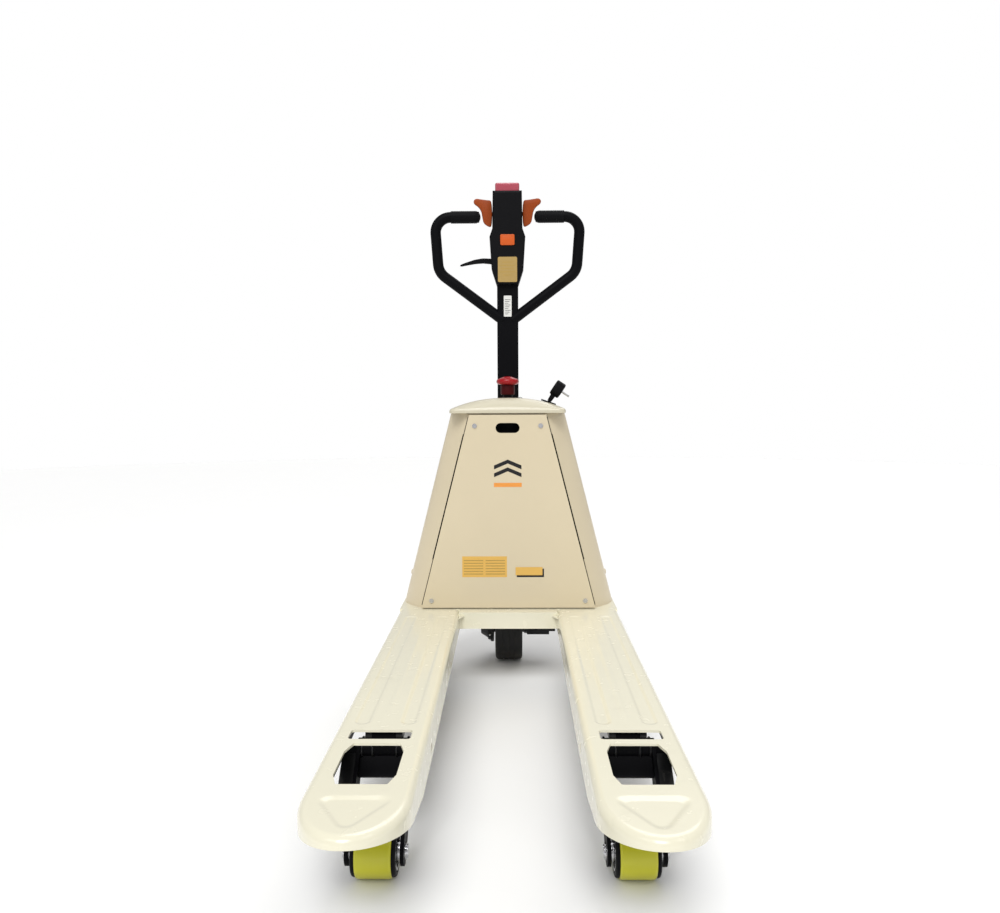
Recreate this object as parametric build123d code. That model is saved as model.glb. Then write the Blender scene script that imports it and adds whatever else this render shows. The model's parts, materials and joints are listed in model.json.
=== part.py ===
"""Semi-electric pallet truck: fork frame, lift linkage, drive unit, pump, handle and controls.

Millimetres, +Z up, floor at z = 0. The forks point along -Y and the operator stands at +Y.
The model is built from the heel plane (the front panel's face, y = 0), with the forks fully
raised, and export_node moves it so that the origin is the bottom centre of its box.
"""
from build123d import *
from math import asin, cos, degrees, hypot, radians, sin, tan
import os

# ---- overall sizes -------------------------------------------------------------------------------
FORK_LENGTH = 1150.0
FORK_SPREAD = 560.0
FORK_WIDTH = 155.0
FORK_TOP = 200.0
LIFT = 115.0
BOX_TOP = 704.0
HANDLE_TOP = 1322.0
HANDLE_Y = 292.0

# ---- clearances ----------------------------------------------------------------------------------
FIT = 0.05
GAP = 0.3
GUIDE = 0.6

# ---- forks ---------------------------------------------------------------------------------------
FORK_X = (FORK_SPREAD - FORK_WIDTH) / 2
FORK_PLATE = 4.0
FORK_EDGE = 9.0
FORK_NOSE = 120.0
FORK_DEPTH_HEEL = 50.0
FORK_DEPTH_WHEEL = 64.0
FORK_LIP = 16.0
FORK_TAPER_Y = -750.0
FORK_RISE_Y = -905.0
WINDOW_HALF = 46.0
WINDOW_Y = (-1000.0, -857.0)
WINDOW_CHAMFER = (9.0, 30.0)
SLOT_SIZE = (101.0, 37.0)
SLOT_Y = -821.5
SLOT_CORNER = 6.0
EMBOSS_DEPTH = 1.2
EMBOSS_HALF = 58.0
EMBOSS_Y = (-775.0, -60.0)
EMBOSS_CORNER = 22.0
NOSE_EMBOSS_HALF = 45.0
NOSE_EMBOSS_Y = (-1123.0, -1040.0)
NOSE_EMBOSS_CORNER = 12.0

# ---- load wheels and their arms ------------------------------------------------------------------
ROLLER_R = 40.0
ROLLER_WIDTH = 70.0
ROLLER_CORE_R = 28.0
ROLLER_EDGE = 6.0
ROLLER_AXLE_R = 10.0
ARM_PIVOT_DROP = 44.0
ARM_LENGTH = 164.5
ARM_PIVOT_Y = -768.7
ARM_PLATE = 6.0
ARM_INNER = 40.0
ARM_HUB_R = 16.0
ARM_END_R = 22.0
ARM_WEB = 50.0
ARM_WEB_HALF = 3.0
ARM_PIN_R = 8.0
CRANK_THROW = 30.0
ROD_EAR_HALF = 20.0
ROD_EAR_R = 8.0
ROD_PIN_R = 5.0
ROD_YOKE_HALF = 31.0
ROD_R = 9.0
EYE_PLAY = 0.3
REAR_EYE_HALF = 8.0
REAR_YOKE_HALF = 18.0
ROD_YOKE_LENGTH = 62.0

# ---- rocker shaft that turns lift into rod travel ------------------------------------------------
ROCKER_DROP = 24.0
ROCKER_Y = 59.4
ROCKER_R = 15.0
ROCKER_HALF = 252.0
ROCKER_ARM_X = (161.0, 171.0)
LUG_X = ((132.0, 142.0), (240.0, 250.0))
LUG_Y = (34.0, 84.0)

# ---- heel cross-member and base plate ------------------------------------------------------------
BEAM_DEPTH = 36.0
BEAM_HEIGHT = 42.0
BEAM_PLATE = 5.0
BASE_PLATE = 8.0
BASE_Y = 92.0
SKIRT_PLATE = 5.0
SKIRT_DEPTH = 50.0
BOX_REAR = 195.0

# ---- mast box, panel and covers ------------------------------------------------------------------
BOX_HALF_BOTTOM = 278.0
BOX_HALF_TOP = 150.0
BOX_FRONT = 12.0
BOX_SHEET = 3.0
BEVEL_X = (51.0, 19.0)
BEVEL_Y = (50.0, 85.0)
BOX_LIP = 26.0
PANEL_HALF = (224.0, 98.0)
PANEL_Z = (203.0, 700.0)
PANEL_SHEET = 2.0
FINGER_HOLE = (61.0, 25.4)
FINGER_HOLE_Z = 666.5
SCREW_POINTS = ((84.0, 672.0), (198.0, 221.5))
SCREW_HEAD_R = 6.0
SCREW_R = 3.0
COVER_BAND = 10.0
COVER_RISE = 39.0
COVER_WALL = 3.0
COVER_Y = (2.0, 190.0)
REAR_COVER_Y = 160.0
REAR_COVER_SHEET = 2.0
SHELF_Z = 385.0

# ---- what the box holds --------------------------------------------------------------------------
BATTERY = ((-150.0, 150.0), (18.0, 84.0), 174.0)
CONTROLLER = ((-118.0, -12.0), 62.0, (410.0, 545.0))
CHARGER = ((12.0, 118.0), 66.0, (410.0, 560.0))
FIN_COUNT = 7
FIN_HEIGHT = 8.0

# ---- controls on the top cover -------------------------------------------------------------------
STOP_Y = 118.0
STOP_NECK_R = 12.5
STOP_STEM_R = 19.0
STOP_DISC_R = 30.0
STOP_LEVELS = (752.0, 778.0, 800.0)
STOP_TRAVEL = 7.0
KEY_PLACE = (34.0, 175.0)
KEY_DROP = 15.0
KEY_BARREL_R = 9.0
KEY_BARREL_LENGTH = 20.0
KEY_COLLAR = 3.0
KEY_BLADE = (8.0, 2.0)
KEY_BOW_R = 8.0
LEAD_R = 4.0
LEAD_EXIT = (105.0, 727.0)
LEAD_Y = 95.0
STALK_LENGTH = 47.0
LEAD_GRIP = 20.0
STALK_LEAN = 34.0
PLUG_R = 21.0
PLUG_DEPTH = 26.0
PLUG_PIN_R = 2.4
PLUG_PIN_LENGTH = 22.0
PLUG_PIN_PITCH = 19.0
GROMMET = (40.0, 30.0, 4.0)
GROMMET_TILT = 18.9
GROMMET_RISE = 5.0

# ---- drive unit ----------------------------------------------------------------------------------
STEER_Y = 236.0
DRIVE_R = 105.0
DRIVE_WIDTH = 75.0
DRIVE_RIM_R = 80.0
DRIVE_AXLE_R = 15.0
BRACKET_GAP = 5.5
BRACKET_PLATE = 8.0
BRACKET_TOP = (220.0, 234.0)
BRACKET_DISC_R = 60.0
BRACKET_HALF_Y = 38.0
MOTOR_STEPS = ((56.0, 7.0), (50.0, 8.0))
MOTOR_CONE = (46.0, 33.0, 20.0)
BRAKE_R = 28.0
BRAKE_LENGTH = 26.0
TORQUE_PLATES = ((131.0, 81.0, 90.0), (114.0, 72.0, 81.0))
TORQUE_HALF_Y = 18.0
BEARING_R = (36.5, 58.0)
BEARING_HEIGHT = 4.0

# ---- base yoke that does not steer ---------------------------------------------------------------
YOKE_PLATE = 12.0
YOKE_RING_R = 62.0
YOKE_CHEEK_X = (150.0, 160.0)
YOKE_CHEEK_Y = (-58.0, -8.0)
YOKE_PIN_R = 8.0
YOKE_PIN_BOSS = 16.0

# ---- pump, cylinder and piston -------------------------------------------------------------------
SPIGOT_R = 35.0
PUMP_FLANGE_R = 58.0
PUMP_FLANGE = 12.0
PUMP_HALF = 42.0
PUMP_TOP = 340.0
CYLINDER_R = 34.0
CYLINDER_TOP = 520.0
PISTON_R = 18.0
PISTON_TOP = 645.0
PISTON_ENGAGED = 55.0
HEAD_BEAM = 12.0
HEAD_TONGUE_R = 25.0
CLEVIS_X = (22.0, 30.0)
CLEVIS_R = 14.0
PLUNGER_R = 10.0
PLUNGER_REACH = 24.0
HANDLE_TILT = 80.0
PLUNGER_BELOW = 20.0
ROLLER_SPINDLE_R = 5.0
PLUNGER_BOSS_TOP = 305.0
BOSS_WALL = 6.0
PUMP_ROLLER_R = 13.0
VALVE_LEVER_Z = 296.0

# ---- handle --------------------------------------------------------------------------------------
HINGE_Z = 350.0
TUBE_HALF = (30.0, 13.0)
TUBE_WALL = 3.0
TUBE_FOOT = 386.0
TUBE_HEAD = 1110.0
YOKE_SIDE = 8.0
HINGE_PIN_R = 8.0
LOOP_R = 15.0
LOOP_START_Z = 968.0
LOOP_CORNERS = ((196.0, 1100.0), (207.0, 1254.0))
LOOP_END_X = 80.0
LOOP_RADII = (50.0, 42.0)
GRIP_R = 17.3
GRIP_LENGTH = 84.0
HEAD_DEPTH = 60.0
HEAD_WALL = 3.0
HEAD_EDGE = 7.0
HEAD_OUTLINE = ((31.0, 1062.0), (45.0, 1106.0), (50.5, 1195.0), (42.5, 1218.0), (41.0, 1322.0))
BELLY_HALF = (34.0, 22.0)
BELLY_PROUD = 23.0
BELLY_TRAVEL = 8.0
HORN = (40.0, 30.0)
HORN_Z = 1185.0
HORN_PROUD = 3.5
HORN_TRAVEL = 3.0
WING_Z = 1262.0
WING_OUTLINE = ((42.0, 1229.0), (53.0, 1229.0), (69.0, 1249.0), (70.0, 1276.0),
                (86.0, 1300.0), (84.0, 1307.0), (60.0, 1303.0), (42.0, 1301.0))
WING_THICK = 9.0
WING_SHAFT_R = 6.0
LEVER_PIVOT = (-34.0, 1128.0)
LEVER_PIN_R = 3.0
LEVER_THICK = 8.0
LEVER_CURVE = ((-34.0, 1128.0), (-62.0, 1132.0), (-92.0, 1129.0), (-135.0, 1118.0))
LEVER_WIDTHS = (9.0, 8.0, 6.5, 3.5)
RELEASE_R = 3.0
RELEASE_X = -14.0

# ---- worked out ----------------------------------------------------------------------------------
REAR_REACH = STEER_Y + DRIVE_R
HEEL_SHIFT = (FORK_LENGTH - REAR_REACH) / 2
ARM_PIVOT_Z = FORK_TOP - ARM_PIVOT_DROP
ARM_RAISED = degrees(asin((ARM_PIVOT_Z - ROLLER_R) / ARM_LENGTH))
ARM_LOWERED = degrees(asin((ARM_PIVOT_Z - LIFT - ROLLER_R) / ARM_LENGTH))
SWING = ARM_RAISED - ARM_LOWERED
HALF_SWING = radians(SWING / 2)
ROLLER_Y = ARM_PIVOT_Y - ARM_LENGTH * cos(radians(ARM_RAISED))
ROD_FRONT = (ARM_PIVOT_Y - CRANK_THROW * sin(HALF_SWING), ARM_PIVOT_Z + CRANK_THROW * cos(HALF_SWING))
ROCKER_Z = FORK_TOP - ROCKER_DROP
ROD_REAR = (ROCKER_Y - CRANK_THROW * sin(HALF_SWING), ROCKER_Z - CRANK_THROW * cos(HALF_SWING))
ROCKER_ARM = LIFT / 2 / sin(HALF_SWING)
YOKE_PIN = (ROCKER_Y + ROCKER_ARM * cos(HALF_SWING), ROCKER_Z - LIFT / 2)
YOKE_Z = (BRACKET_TOP[1] + BEARING_HEIGHT, BRACKET_TOP[1] + BEARING_HEIGHT + YOKE_PLATE)
PUMP_Z = YOKE_Z[1] + GAP
BRACKET_X = DRIVE_WIDTH / 2 + BRACKET_GAP
HALF_TILT = radians(HANDLE_TILT / 2)
ROLLER_AT = (HANDLE_Y + PLUNGER_REACH * cos(HALF_TILT), HINGE_Z + PLUNGER_REACH * sin(HALF_TILT))
PLUNGER_Y = HANDLE_Y + PLUNGER_REACH * (1 + cos(HALF_TILT)) / 2
HEAD_Y = (HANDLE_Y - HEAD_DEPTH / 2, HANDLE_Y + HEAD_DEPTH / 2)
COVER_TOP = BOX_TOP + COVER_RISE
KEY_BASE = COVER_TOP - KEY_DROP
SIDES = {"left": -1, "right": 1}


# ---- small helpers -------------------------------------------------------------------------------
def slab(x, y, z):
    """A block between three pairs of limits."""
    size = [pair[1] - pair[0] for pair in (x, y, z)]
    centre = [(pair[1] + pair[0]) / 2 for pair in (x, y, z)]
    return Pos(*centre) * Box(*size)


def bar(start, end, radius, tip=None):
    """A round bar, or a cone where a tip radius is given, between two points."""
    run = Vector(*end) - Vector(*start)
    plane = Plane(origin=start, z_dir=run)
    if tip is None:
        return extrude(plane * Circle(radius), run.length)
    return loft([plane * Circle(radius), plane.offset(run.length) * Circle(tip)])


def bar_x(x, y, z, radius):
    """A round bar along X between two limits."""
    return bar((x[0], y, z), (x[1], y, z), radius)


def across(face, x):
    """A sketch drawn in Y and Z, made solid between two X limits."""
    return extrude(Plane.YZ.offset(x[0]) * face, x[1] - x[0])


def along(face, y):
    """A sketch drawn in X and Z, made solid between two Y limits."""
    return extrude(Plane.XZ.offset(-y[1]) * face, y[1] - y[0])


def upright(face, z):
    """A sketch drawn in X and Y, made solid between two heights."""
    return extrude(Plane.XY.offset(z[0]) * face, z[1] - z[0])


def link(a, radius_a, b, radius_b):
    """The outline of a link: two round ends and the tangent lines between them."""
    ends = (Pos(*a) * Circle(radius_a)).edges() + (Pos(*b) * Circle(radius_b)).edges()
    return make_hull(ends)


def mirrored(points):
    """A closed outline from its right half, which runs up the +X side."""
    return list(points) + [(-x, z) for x, z in reversed(points)]


def export_node(name, *solids):
    """Write one sub-part, moved to the part's own origin."""
    moved = [Pos(0, HEEL_SHIFT, 0) * solid for solid in solids]
    shape = moved[0] if len(moved) == 1 else Compound(children=[Compound(s.solids()) for s in moved])
    export_step(shape, os.path.join("parts", name + ".step"))


# ---- forks ---------------------------------------------------------------------------------------
def fork_plan(half, length, nose):
    """A fork seen from above: straight sides and a half-elliptic nose."""
    shoulder = -(length - nose)
    left = Line((-half, 0), (-half, shoulder))
    tip = EllipticalCenterArc((0, shoulder), half, nose, start_angle=180, arc_size=180)
    right = Line((half, shoulder), (half, 0))
    back = Line((half, 0), (-half, 0))
    return make_face(left + tip + right + back)


def fork(side):
    """One pressed channel fork with its wheel window, slot and embossed panels."""
    floor = FORK_TOP - FORK_DEPTH_WHEEL
    body = upright(fork_plan(FORK_WIDTH / 2, FORK_LENGTH, FORK_NOSE), (floor, FORK_TOP))
    rim = [e for e in body.edges().group_by(Axis.Z)[-1] if e.center().Y < -1]
    body = fillet(rim, FORK_EDGE)
    inner = fork_plan(FORK_WIDTH / 2 - FORK_PLATE, FORK_LENGTH - FORK_PLATE, FORK_NOSE - FORK_PLATE)
    body -= upright(inner, (floor - 1, FORK_TOP - FORK_PLATE))
    under = Polyline((1, FORK_TOP - FORK_DEPTH_HEEL), (FORK_TAPER_Y, floor), (FORK_RISE_Y, floor),
                     (-FORK_LENGTH, FORK_TOP - FORK_LIP), (-FORK_LENGTH - 1, floor - 1), (1, floor - 1),
                      close=True)
    body -= across(make_face(under), (-FORK_WIDTH, FORK_WIDTH))
    cut_x, cut_y = WINDOW_CHAMFER
    low, high = WINDOW_Y
    window = Polyline((WINDOW_HALF - cut_x, low), (WINDOW_HALF, low + cut_y), (WINDOW_HALF, high - cut_y),
                      (WINDOW_HALF - cut_x, high), (cut_x - WINDOW_HALF, high), (-WINDOW_HALF, high - cut_y),
                      (-WINDOW_HALF, low + cut_y), (cut_x - WINDOW_HALF, low), close=True)
    through = (FORK_TOP - 2 * FORK_PLATE, FORK_TOP + 1)
    body -= upright(make_face(window), through)
    body -= upright(Pos(0, SLOT_Y) * RectangleRounded(*SLOT_SIZE, SLOT_CORNER), through)
    skin = (FORK_TOP - EMBOSS_DEPTH, FORK_TOP + 1)
    panel_length = EMBOSS_Y[1] - EMBOSS_Y[0]
    panel = RectangleRounded(2 * EMBOSS_HALF, panel_length, EMBOSS_CORNER)
    body -= upright(Pos(0, sum(EMBOSS_Y) / 2) * panel, skin)
    nose = Polygon((-NOSE_EMBOSS_HALF, NOSE_EMBOSS_Y[1]), (0, NOSE_EMBOSS_Y[0]),
                   (NOSE_EMBOSS_HALF, NOSE_EMBOSS_Y[1]), align=None)
    body -= upright(fillet(nose.vertices(), NOSE_EMBOSS_CORNER), skin)
    pin = (-FORK_WIDTH, FORK_WIDTH)
    body -= bar_x(pin, ARM_PIVOT_Y, ARM_PIVOT_Z, ARM_PIN_R + FIT)
    return Pos(side * FORK_X, 0, 0) * body


def arm_slot(side):
    """The X limits of a slot that a rocker arm swings through."""
    return sorted((side * (ROCKER_ARM_X[0] - 3), side * (ROCKER_ARM_X[1] + 3)))


def heel_crossmember():
    """Front beam between the forks, base plate, side skirts and the rocker's bearing lugs."""
    inner = FORK_SPREAD / 2 - FORK_WIDTH
    beam_z = (FORK_TOP - BEAM_HEIGHT, FORK_TOP)
    body = slab((-inner, inner), (-BEAM_DEPTH, BEAM_PLATE - BEAM_DEPTH), beam_z)
    body += slab((-inner, inner), (-BEAM_DEPTH, 0), (FORK_TOP - BEAM_PLATE, FORK_TOP))
    body += slab((-inner, inner), (-BEAM_PLATE, 0), beam_z)
    plate_x = FORK_SPREAD / 2 - SKIRT_PLATE
    body += slab((-plate_x, plate_x), (0, BASE_Y), (FORK_TOP - BASE_PLATE, FORK_TOP))
    for side in SIDES.values():
        skirt = sorted((side * plate_x, side * FORK_SPREAD / 2))
        body += slab(skirt, (0, BOX_REAR), (FORK_TOP - SKIRT_DEPTH, FORK_TOP))
        for limits in LUG_X:
            lug = sorted((side * limits[0], side * limits[1]))
            body += slab(lug, LUG_Y, (ROCKER_Z - ROCKER_R - BEAM_PLATE, FORK_TOP - BASE_PLATE))
        slot_y = (ROCKER_Y - ROCKER_R - 5, BASE_Y + 1)
        body -= slab(arm_slot(side), slot_y, (FORK_TOP - 2 * BASE_PLATE, FORK_TOP + 1))
    body -= bar_x((-FORK_SPREAD, FORK_SPREAD), ROCKER_Y, ROCKER_Z, ROCKER_R + FIT)
    return body


# ---- load wheels, arms and push rods -------------------------------------------------------------
def load_arm(side):
    """Two side plates on a hub, tied by a web, with the ear that the push rod drives."""
    pivot = (ARM_PIVOT_Y, ARM_PIVOT_Z)
    wheel = (ROLLER_Y, ROLLER_R)
    plate = link(pivot, ARM_HUB_R, wheel, ARM_END_R)
    hub_half = FORK_WIDTH / 2 - FORK_PLATE - GAP
    body = bar_x((-hub_half, hub_half), *pivot, ARM_HUB_R - 3)
    body += bar_x((-ARM_INNER, ARM_INNER), *pivot, ARM_HUB_R)
    for outward in SIDES.values():
        body += across(plate, sorted((outward * ARM_INNER, outward * (ARM_INNER + ARM_PLATE))))
    body += across(link(pivot, ARM_HUB_R, ROD_FRONT, ROD_EAR_R), (-ROD_EAR_HALF, ROD_EAR_HALF))
    lean = radians(ARM_RAISED)
    near, thick = ARM_HUB_R - 4, ARM_WEB_HALF
    web = [(pivot[0] - d * cos(lean) + s * sin(lean), pivot[1] - d * sin(lean) - s * cos(lean))
           for d, s in ((near, thick), (ARM_WEB, thick), (ARM_WEB, -thick), (near, -thick))]
    body += across(make_face(Polyline(*web, close=True)), (-ARM_INNER, ARM_INNER))
    whole = (-FORK_WIDTH, FORK_WIDTH)
    body -= bar_x(whole, *pivot, ARM_PIN_R + FIT)
    body -= bar_x(whole, *wheel, ROLLER_AXLE_R + FIT)
    body -= across(eye_slot(pivot, ROD_FRONT), whole)
    return Pos(side * FORK_X, 0, 0) * body


def arm_pivot_pin(side):
    """The pin across a fork that its arm turns on."""
    half = FORK_WIDTH / 2 - 1
    return Pos(side * FORK_X, 0, 0) * bar_x((-half, half), ARM_PIVOT_Y, ARM_PIVOT_Z, ARM_PIN_R)


def roller_axle(side):
    """A load wheel's axle, with a head outside each arm plate."""
    outer = ARM_INNER + ARM_PLATE
    body = bar_x((-outer - 5, outer + 5), ROLLER_Y, ROLLER_R, ROLLER_AXLE_R)
    for outward in SIDES.values():
        body += bar_x(sorted((outward * outer, outward * (outer + 3))), ROLLER_Y, ROLLER_R, ROLLER_AXLE_R + 3)
    return Pos(side * FORK_X, 0, 0) * body


def roller_core(side):
    """The load wheel's steel centre with its bearing shoulders."""
    half = ROLLER_WIDTH / 2
    body = bar_x((-half, half), ROLLER_Y, ROLLER_R, ROLLER_CORE_R)
    for outward in SIDES.values():
        body -= bar_x(sorted((outward * (half - 4), outward * half)), ROLLER_Y, ROLLER_R, ROLLER_CORE_R - 4)
    shoulder = ARM_INNER - GAP
    body += bar_x((-shoulder, shoulder), ROLLER_Y, ROLLER_R, ROLLER_AXLE_R + 6)
    body -= bar_x((-FORK_WIDTH, FORK_WIDTH), ROLLER_Y, ROLLER_R, ROLLER_AXLE_R + FIT)
    return Pos(side * FORK_X, 0, 0) * body


def roller_tyre(side):
    """The load wheel's tread with rounded edges."""
    half = ROLLER_WIDTH / 2
    body = bar_x((-half, half), ROLLER_Y, ROLLER_R, ROLLER_R)
    body = fillet(body.edges().filter_by(GeomType.CIRCLE), ROLLER_EDGE)
    body -= bar_x((-FORK_WIDTH, FORK_WIDTH), ROLLER_Y, ROLLER_R, ROLLER_CORE_R)
    return Pos(side * FORK_X, 0, 0) * body


def eye_slot(pivot, eye):
    """An ear's hole, long enough for its arc over the straight travel of the rod's pin."""
    share = 1 - cos(HALF_SWING) + EYE_PLAY / CRANK_THROW
    inner = (eye[0] + (pivot[0] - eye[0]) * share, eye[1] + (pivot[1] - eye[1]) * share)
    return link(eye, ROD_PIN_R + EYE_PLAY, inner, ROD_PIN_R + EYE_PLAY)


def rod_yoke(pin, inward, half, slot_half, reach):
    """A fork end of a push rod: two cheeks round an ear, their bridge and the pin."""
    far = pin[0] + inward * reach
    body = across(link(pin, ROD_EAR_R, (far, pin[1]), ROD_EAR_R), (-half, half))
    body -= slab((-slot_half, slot_half), sorted((pin[0] - inward * 20, far - inward * 14)),
                 (pin[1] - 20, pin[1] + 20))
    return body + bar_x((-half, half), *pin, ROD_PIN_R)


def push_rod(side):
    """A push rod from the rocker's foot to the arm's ear, with a yoke at each end."""
    front = rod_yoke(ROD_FRONT, 1, ROD_YOKE_HALF, ROD_EAR_HALF + GAP, ROD_YOKE_LENGTH)
    rear = rod_yoke(ROD_REAR, -1, REAR_YOKE_HALF, REAR_EYE_HALF + GAP, ROD_YOKE_LENGTH)
    start = (0, ROD_FRONT[0] + ROD_YOKE_LENGTH - ROD_R, ROD_FRONT[1])
    end = (0, ROD_REAR[0] - ROD_YOKE_LENGTH + ROD_R, ROD_REAR[1])
    return Pos(side * FORK_X, 0, 0) * (front + rear + bar(start, end, ROD_R - 1.5))


def rocker_shaft():
    """The cross shaft at the heel: feet that push the rods, arms that bear on the base yoke."""
    pivot = (ROCKER_Y, ROCKER_Z)
    body = bar_x((-ROCKER_HALF, ROCKER_HALF), *pivot, ROCKER_R)
    tip = (ROCKER_Y + ROCKER_ARM * cos(HALF_SWING), ROCKER_Z - ROCKER_ARM * sin(HALF_SWING))
    back = (ROCKER_Y + (ROCKER_ARM - 12) * cos(HALF_SWING), ROCKER_Z - (ROCKER_ARM - 12) * sin(HALF_SWING))
    slack = YOKE_PIN_R + 2 * GUIDE
    for side in SIDES.values():
        foot_x = (side * FORK_X - REAR_EYE_HALF, side * FORK_X + REAR_EYE_HALF)
        foot = across(link(pivot, ROCKER_R, ROD_REAR, ROD_EAR_R), foot_x)
        body += foot - across(eye_slot(pivot, ROD_REAR), foot_x)
        arm_x = sorted(side * x for x in ROCKER_ARM_X)
        arm = across(link(pivot, ROCKER_R, tip, YOKE_PIN_BOSS), arm_x)
        body += arm - across(link(tip, slack, back, slack), arm_x)
    return body


# ---- mast box and covers -------------------------------------------------------------------------
def box_section(half, inset):
    """The mast box in plan at one height: front, bevelled corners and straight sides."""
    points = [(half - BEVEL_X[0] - inset / 2, BOX_FRONT + inset), (half - BEVEL_X[1] - inset, BEVEL_Y[0]),
              (half - inset, BEVEL_Y[1]), (half - inset, BOX_REAR)]
    return make_face(Polyline(*mirrored(points), close=True))


def box_form(inset):
    """The whole tapering form of the mast box, as a solid."""
    bottom = Plane.XY.offset(FORK_TOP) * box_section(BOX_HALF_BOTTOM, inset)
    top = Plane.XY.offset(BOX_TOP) * box_section(BOX_HALF_TOP, inset)
    return loft([bottom, top], ruled=True)


def box_half(z):
    """Half the mast box's outer width at a height."""
    share = (z - FORK_TOP) / (BOX_TOP - FORK_TOP)
    return BOX_HALF_BOTTOM + share * (BOX_HALF_TOP - BOX_HALF_BOTTOM)


def mast_box():
    """Bent side sheets with a front lip, and the head beam that the piston lifts."""
    body = box_form(0) - box_form(BOX_SHEET)
    opening = [(box_half(z) - BEVEL_X[0] - BOX_LIP, z) for z in (FORK_TOP + BOX_LIP, BOX_TOP - BOX_LIP / 2)]
    through = (BOX_FRONT - 1, BOX_FRONT + BOX_SHEET + 1)
    body -= along(make_face(Polyline(*mirrored(opening), close=True)), through)
    beam_half = box_half(PISTON_TOP) - BOX_SHEET
    beam = slab((-beam_half, beam_half), (REAR_COVER_Y + REAR_COVER_SHEET + GUIDE, BOX_REAR),
                (PISTON_TOP + GAP, PISTON_TOP + GAP + HEAD_BEAM))
    tongue = link((0, BOX_REAR), HEAD_TONGUE_R, (0, STEER_Y), HEAD_TONGUE_R)
    body += beam & box_form(BOX_SHEET / 2)
    body += upright(tongue, (PISTON_TOP + GAP, PISTON_TOP + GAP + HEAD_BEAM))
    for x, z in SCREW_POINTS:
        for side in SIDES.values():
            body -= bar((side * x, BOX_FRONT - 1, z), (side * x, BOX_FRONT + BOX_SHEET + 1, z), SCREW_R + FIT)
    return body


def front_panel():
    """The removable front panel: a shallow tray with a finger hole and four screw holes."""
    def outline(inset):
        points = [(PANEL_HALF[0] - inset, PANEL_Z[0] + inset), (PANEL_HALF[1] - inset, PANEL_Z[1] - inset)]
        return make_face(Polyline(*mirrored(points), close=True))

    body = along(outline(0), (0, BOX_FRONT)) - along(outline(PANEL_SHEET), (PANEL_SHEET, BOX_FRONT + 1))
    body -= along(Pos(0, FINGER_HOLE_Z) * SlotOverall(*FINGER_HOLE), (-1, PANEL_SHEET + 1))
    for x, z in SCREW_POINTS:
        for side in SIDES.values():
            body += bar((side * x, 0, z), (side * x, BOX_FRONT, z), SCREW_HEAD_R)
            body -= bar((side * x, -1, z), (side * x, BOX_FRONT + 1, z), SCREW_R + FIT)
    return body


def panel_screws():
    """Four screws that hold the front panel to the mast box."""
    screws = []
    for x, z in SCREW_POINTS:
        for side in SIDES.values():
            screw = bar((side * x, 0, z), (side * x, BOX_FRONT + BOX_SHEET, z), SCREW_R)
            head = bar((side * x, -2.5, z), (side * x, 0, z), SCREW_HEAD_R)
            slot = slab((side * x - 4, side * x + 4), (-3, -1.4), (z - 0.7, z + 0.7))
            screws.append(screw + head - slot)
    return screws


def cover_form(inset):
    """The top cover's crowned form: a crown across, met with a crown from front to back."""
    half = BOX_HALF_TOP - 1 - inset
    top = COVER_TOP - inset
    band = BOX_TOP + GAP + COVER_BAND
    crown = Spline((half, band), (half - 27, band + 12), (half * 0.5, top - 5), (half * 0.22, top - 0.4),
                   (0, top), (-half * 0.22, top - 0.4), (-half * 0.5, top - 5), (27 - half, band + 12),
                    (-half, band))
    foot = Polyline((-half, band), (-half, BOX_TOP + GAP), (half, BOX_TOP + GAP), (half, band))
    width_way = along(make_face(crown + foot), (COVER_Y[0] + inset, COVER_Y[1] - inset))
    front, rear = COVER_Y[0] + inset, COVER_Y[1] - inset
    ridge = Spline((front, band), (front + 14, top - 6), (front + 48, top), (front + 100, top - 1),
                   (rear - 14, top - 16), (rear, top - 24))
    sole = Polyline((rear, top - 24), (rear, BOX_TOP + GAP), (front, BOX_TOP + GAP), (front, band))
    return width_way & across(make_face(ridge + sole), (-half, half))


def lead_point(distance):
    """A point on the parked plug's stalk, measured from where it leaves the cover."""
    lean = radians(STALK_LEAN)
    return (LEAD_EXIT[0] + distance * sin(lean), LEAD_Y, LEAD_EXIT[1] + distance * cos(lean))


def grommet_plate(clearance):
    """The grommet's tilted plate, lying in its shallow seat on the cover."""
    size = (GROMMET[0] + 2 * clearance, GROMMET[1] + 2 * clearance, GROMMET[2])
    centre = lead_point(GROMMET_RISE)
    return Pos(*centre) * Rot(0, GROMMET_TILT, 0) * Box(*size)


def top_cover():
    """The moulded top cover, hollow, with holes for the stop switch, the key and the lead."""
    body = cover_form(0) - (Pos(0, 0, -COVER_WALL) * cover_form(COVER_WALL))
    body -= bar((0, STOP_Y, BOX_TOP), (0, STOP_Y, COVER_TOP + 1), STOP_NECK_R - 2 + FIT)
    body -= bar((*KEY_PLACE, BOX_TOP), (*KEY_PLACE, COVER_TOP + 1), KEY_BARREL_R + FIT)
    collar = KEY_BARREL_R + KEY_COLLAR + FIT
    body -= bar((*KEY_PLACE, KEY_BASE - KEY_COLLAR), (*KEY_PLACE, COVER_TOP + 1), collar)
    body -= bar(lead_point(-20), lead_point(20), LEAD_R + 4 + FIT)
    return body - grommet_plate(FIT)


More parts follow.
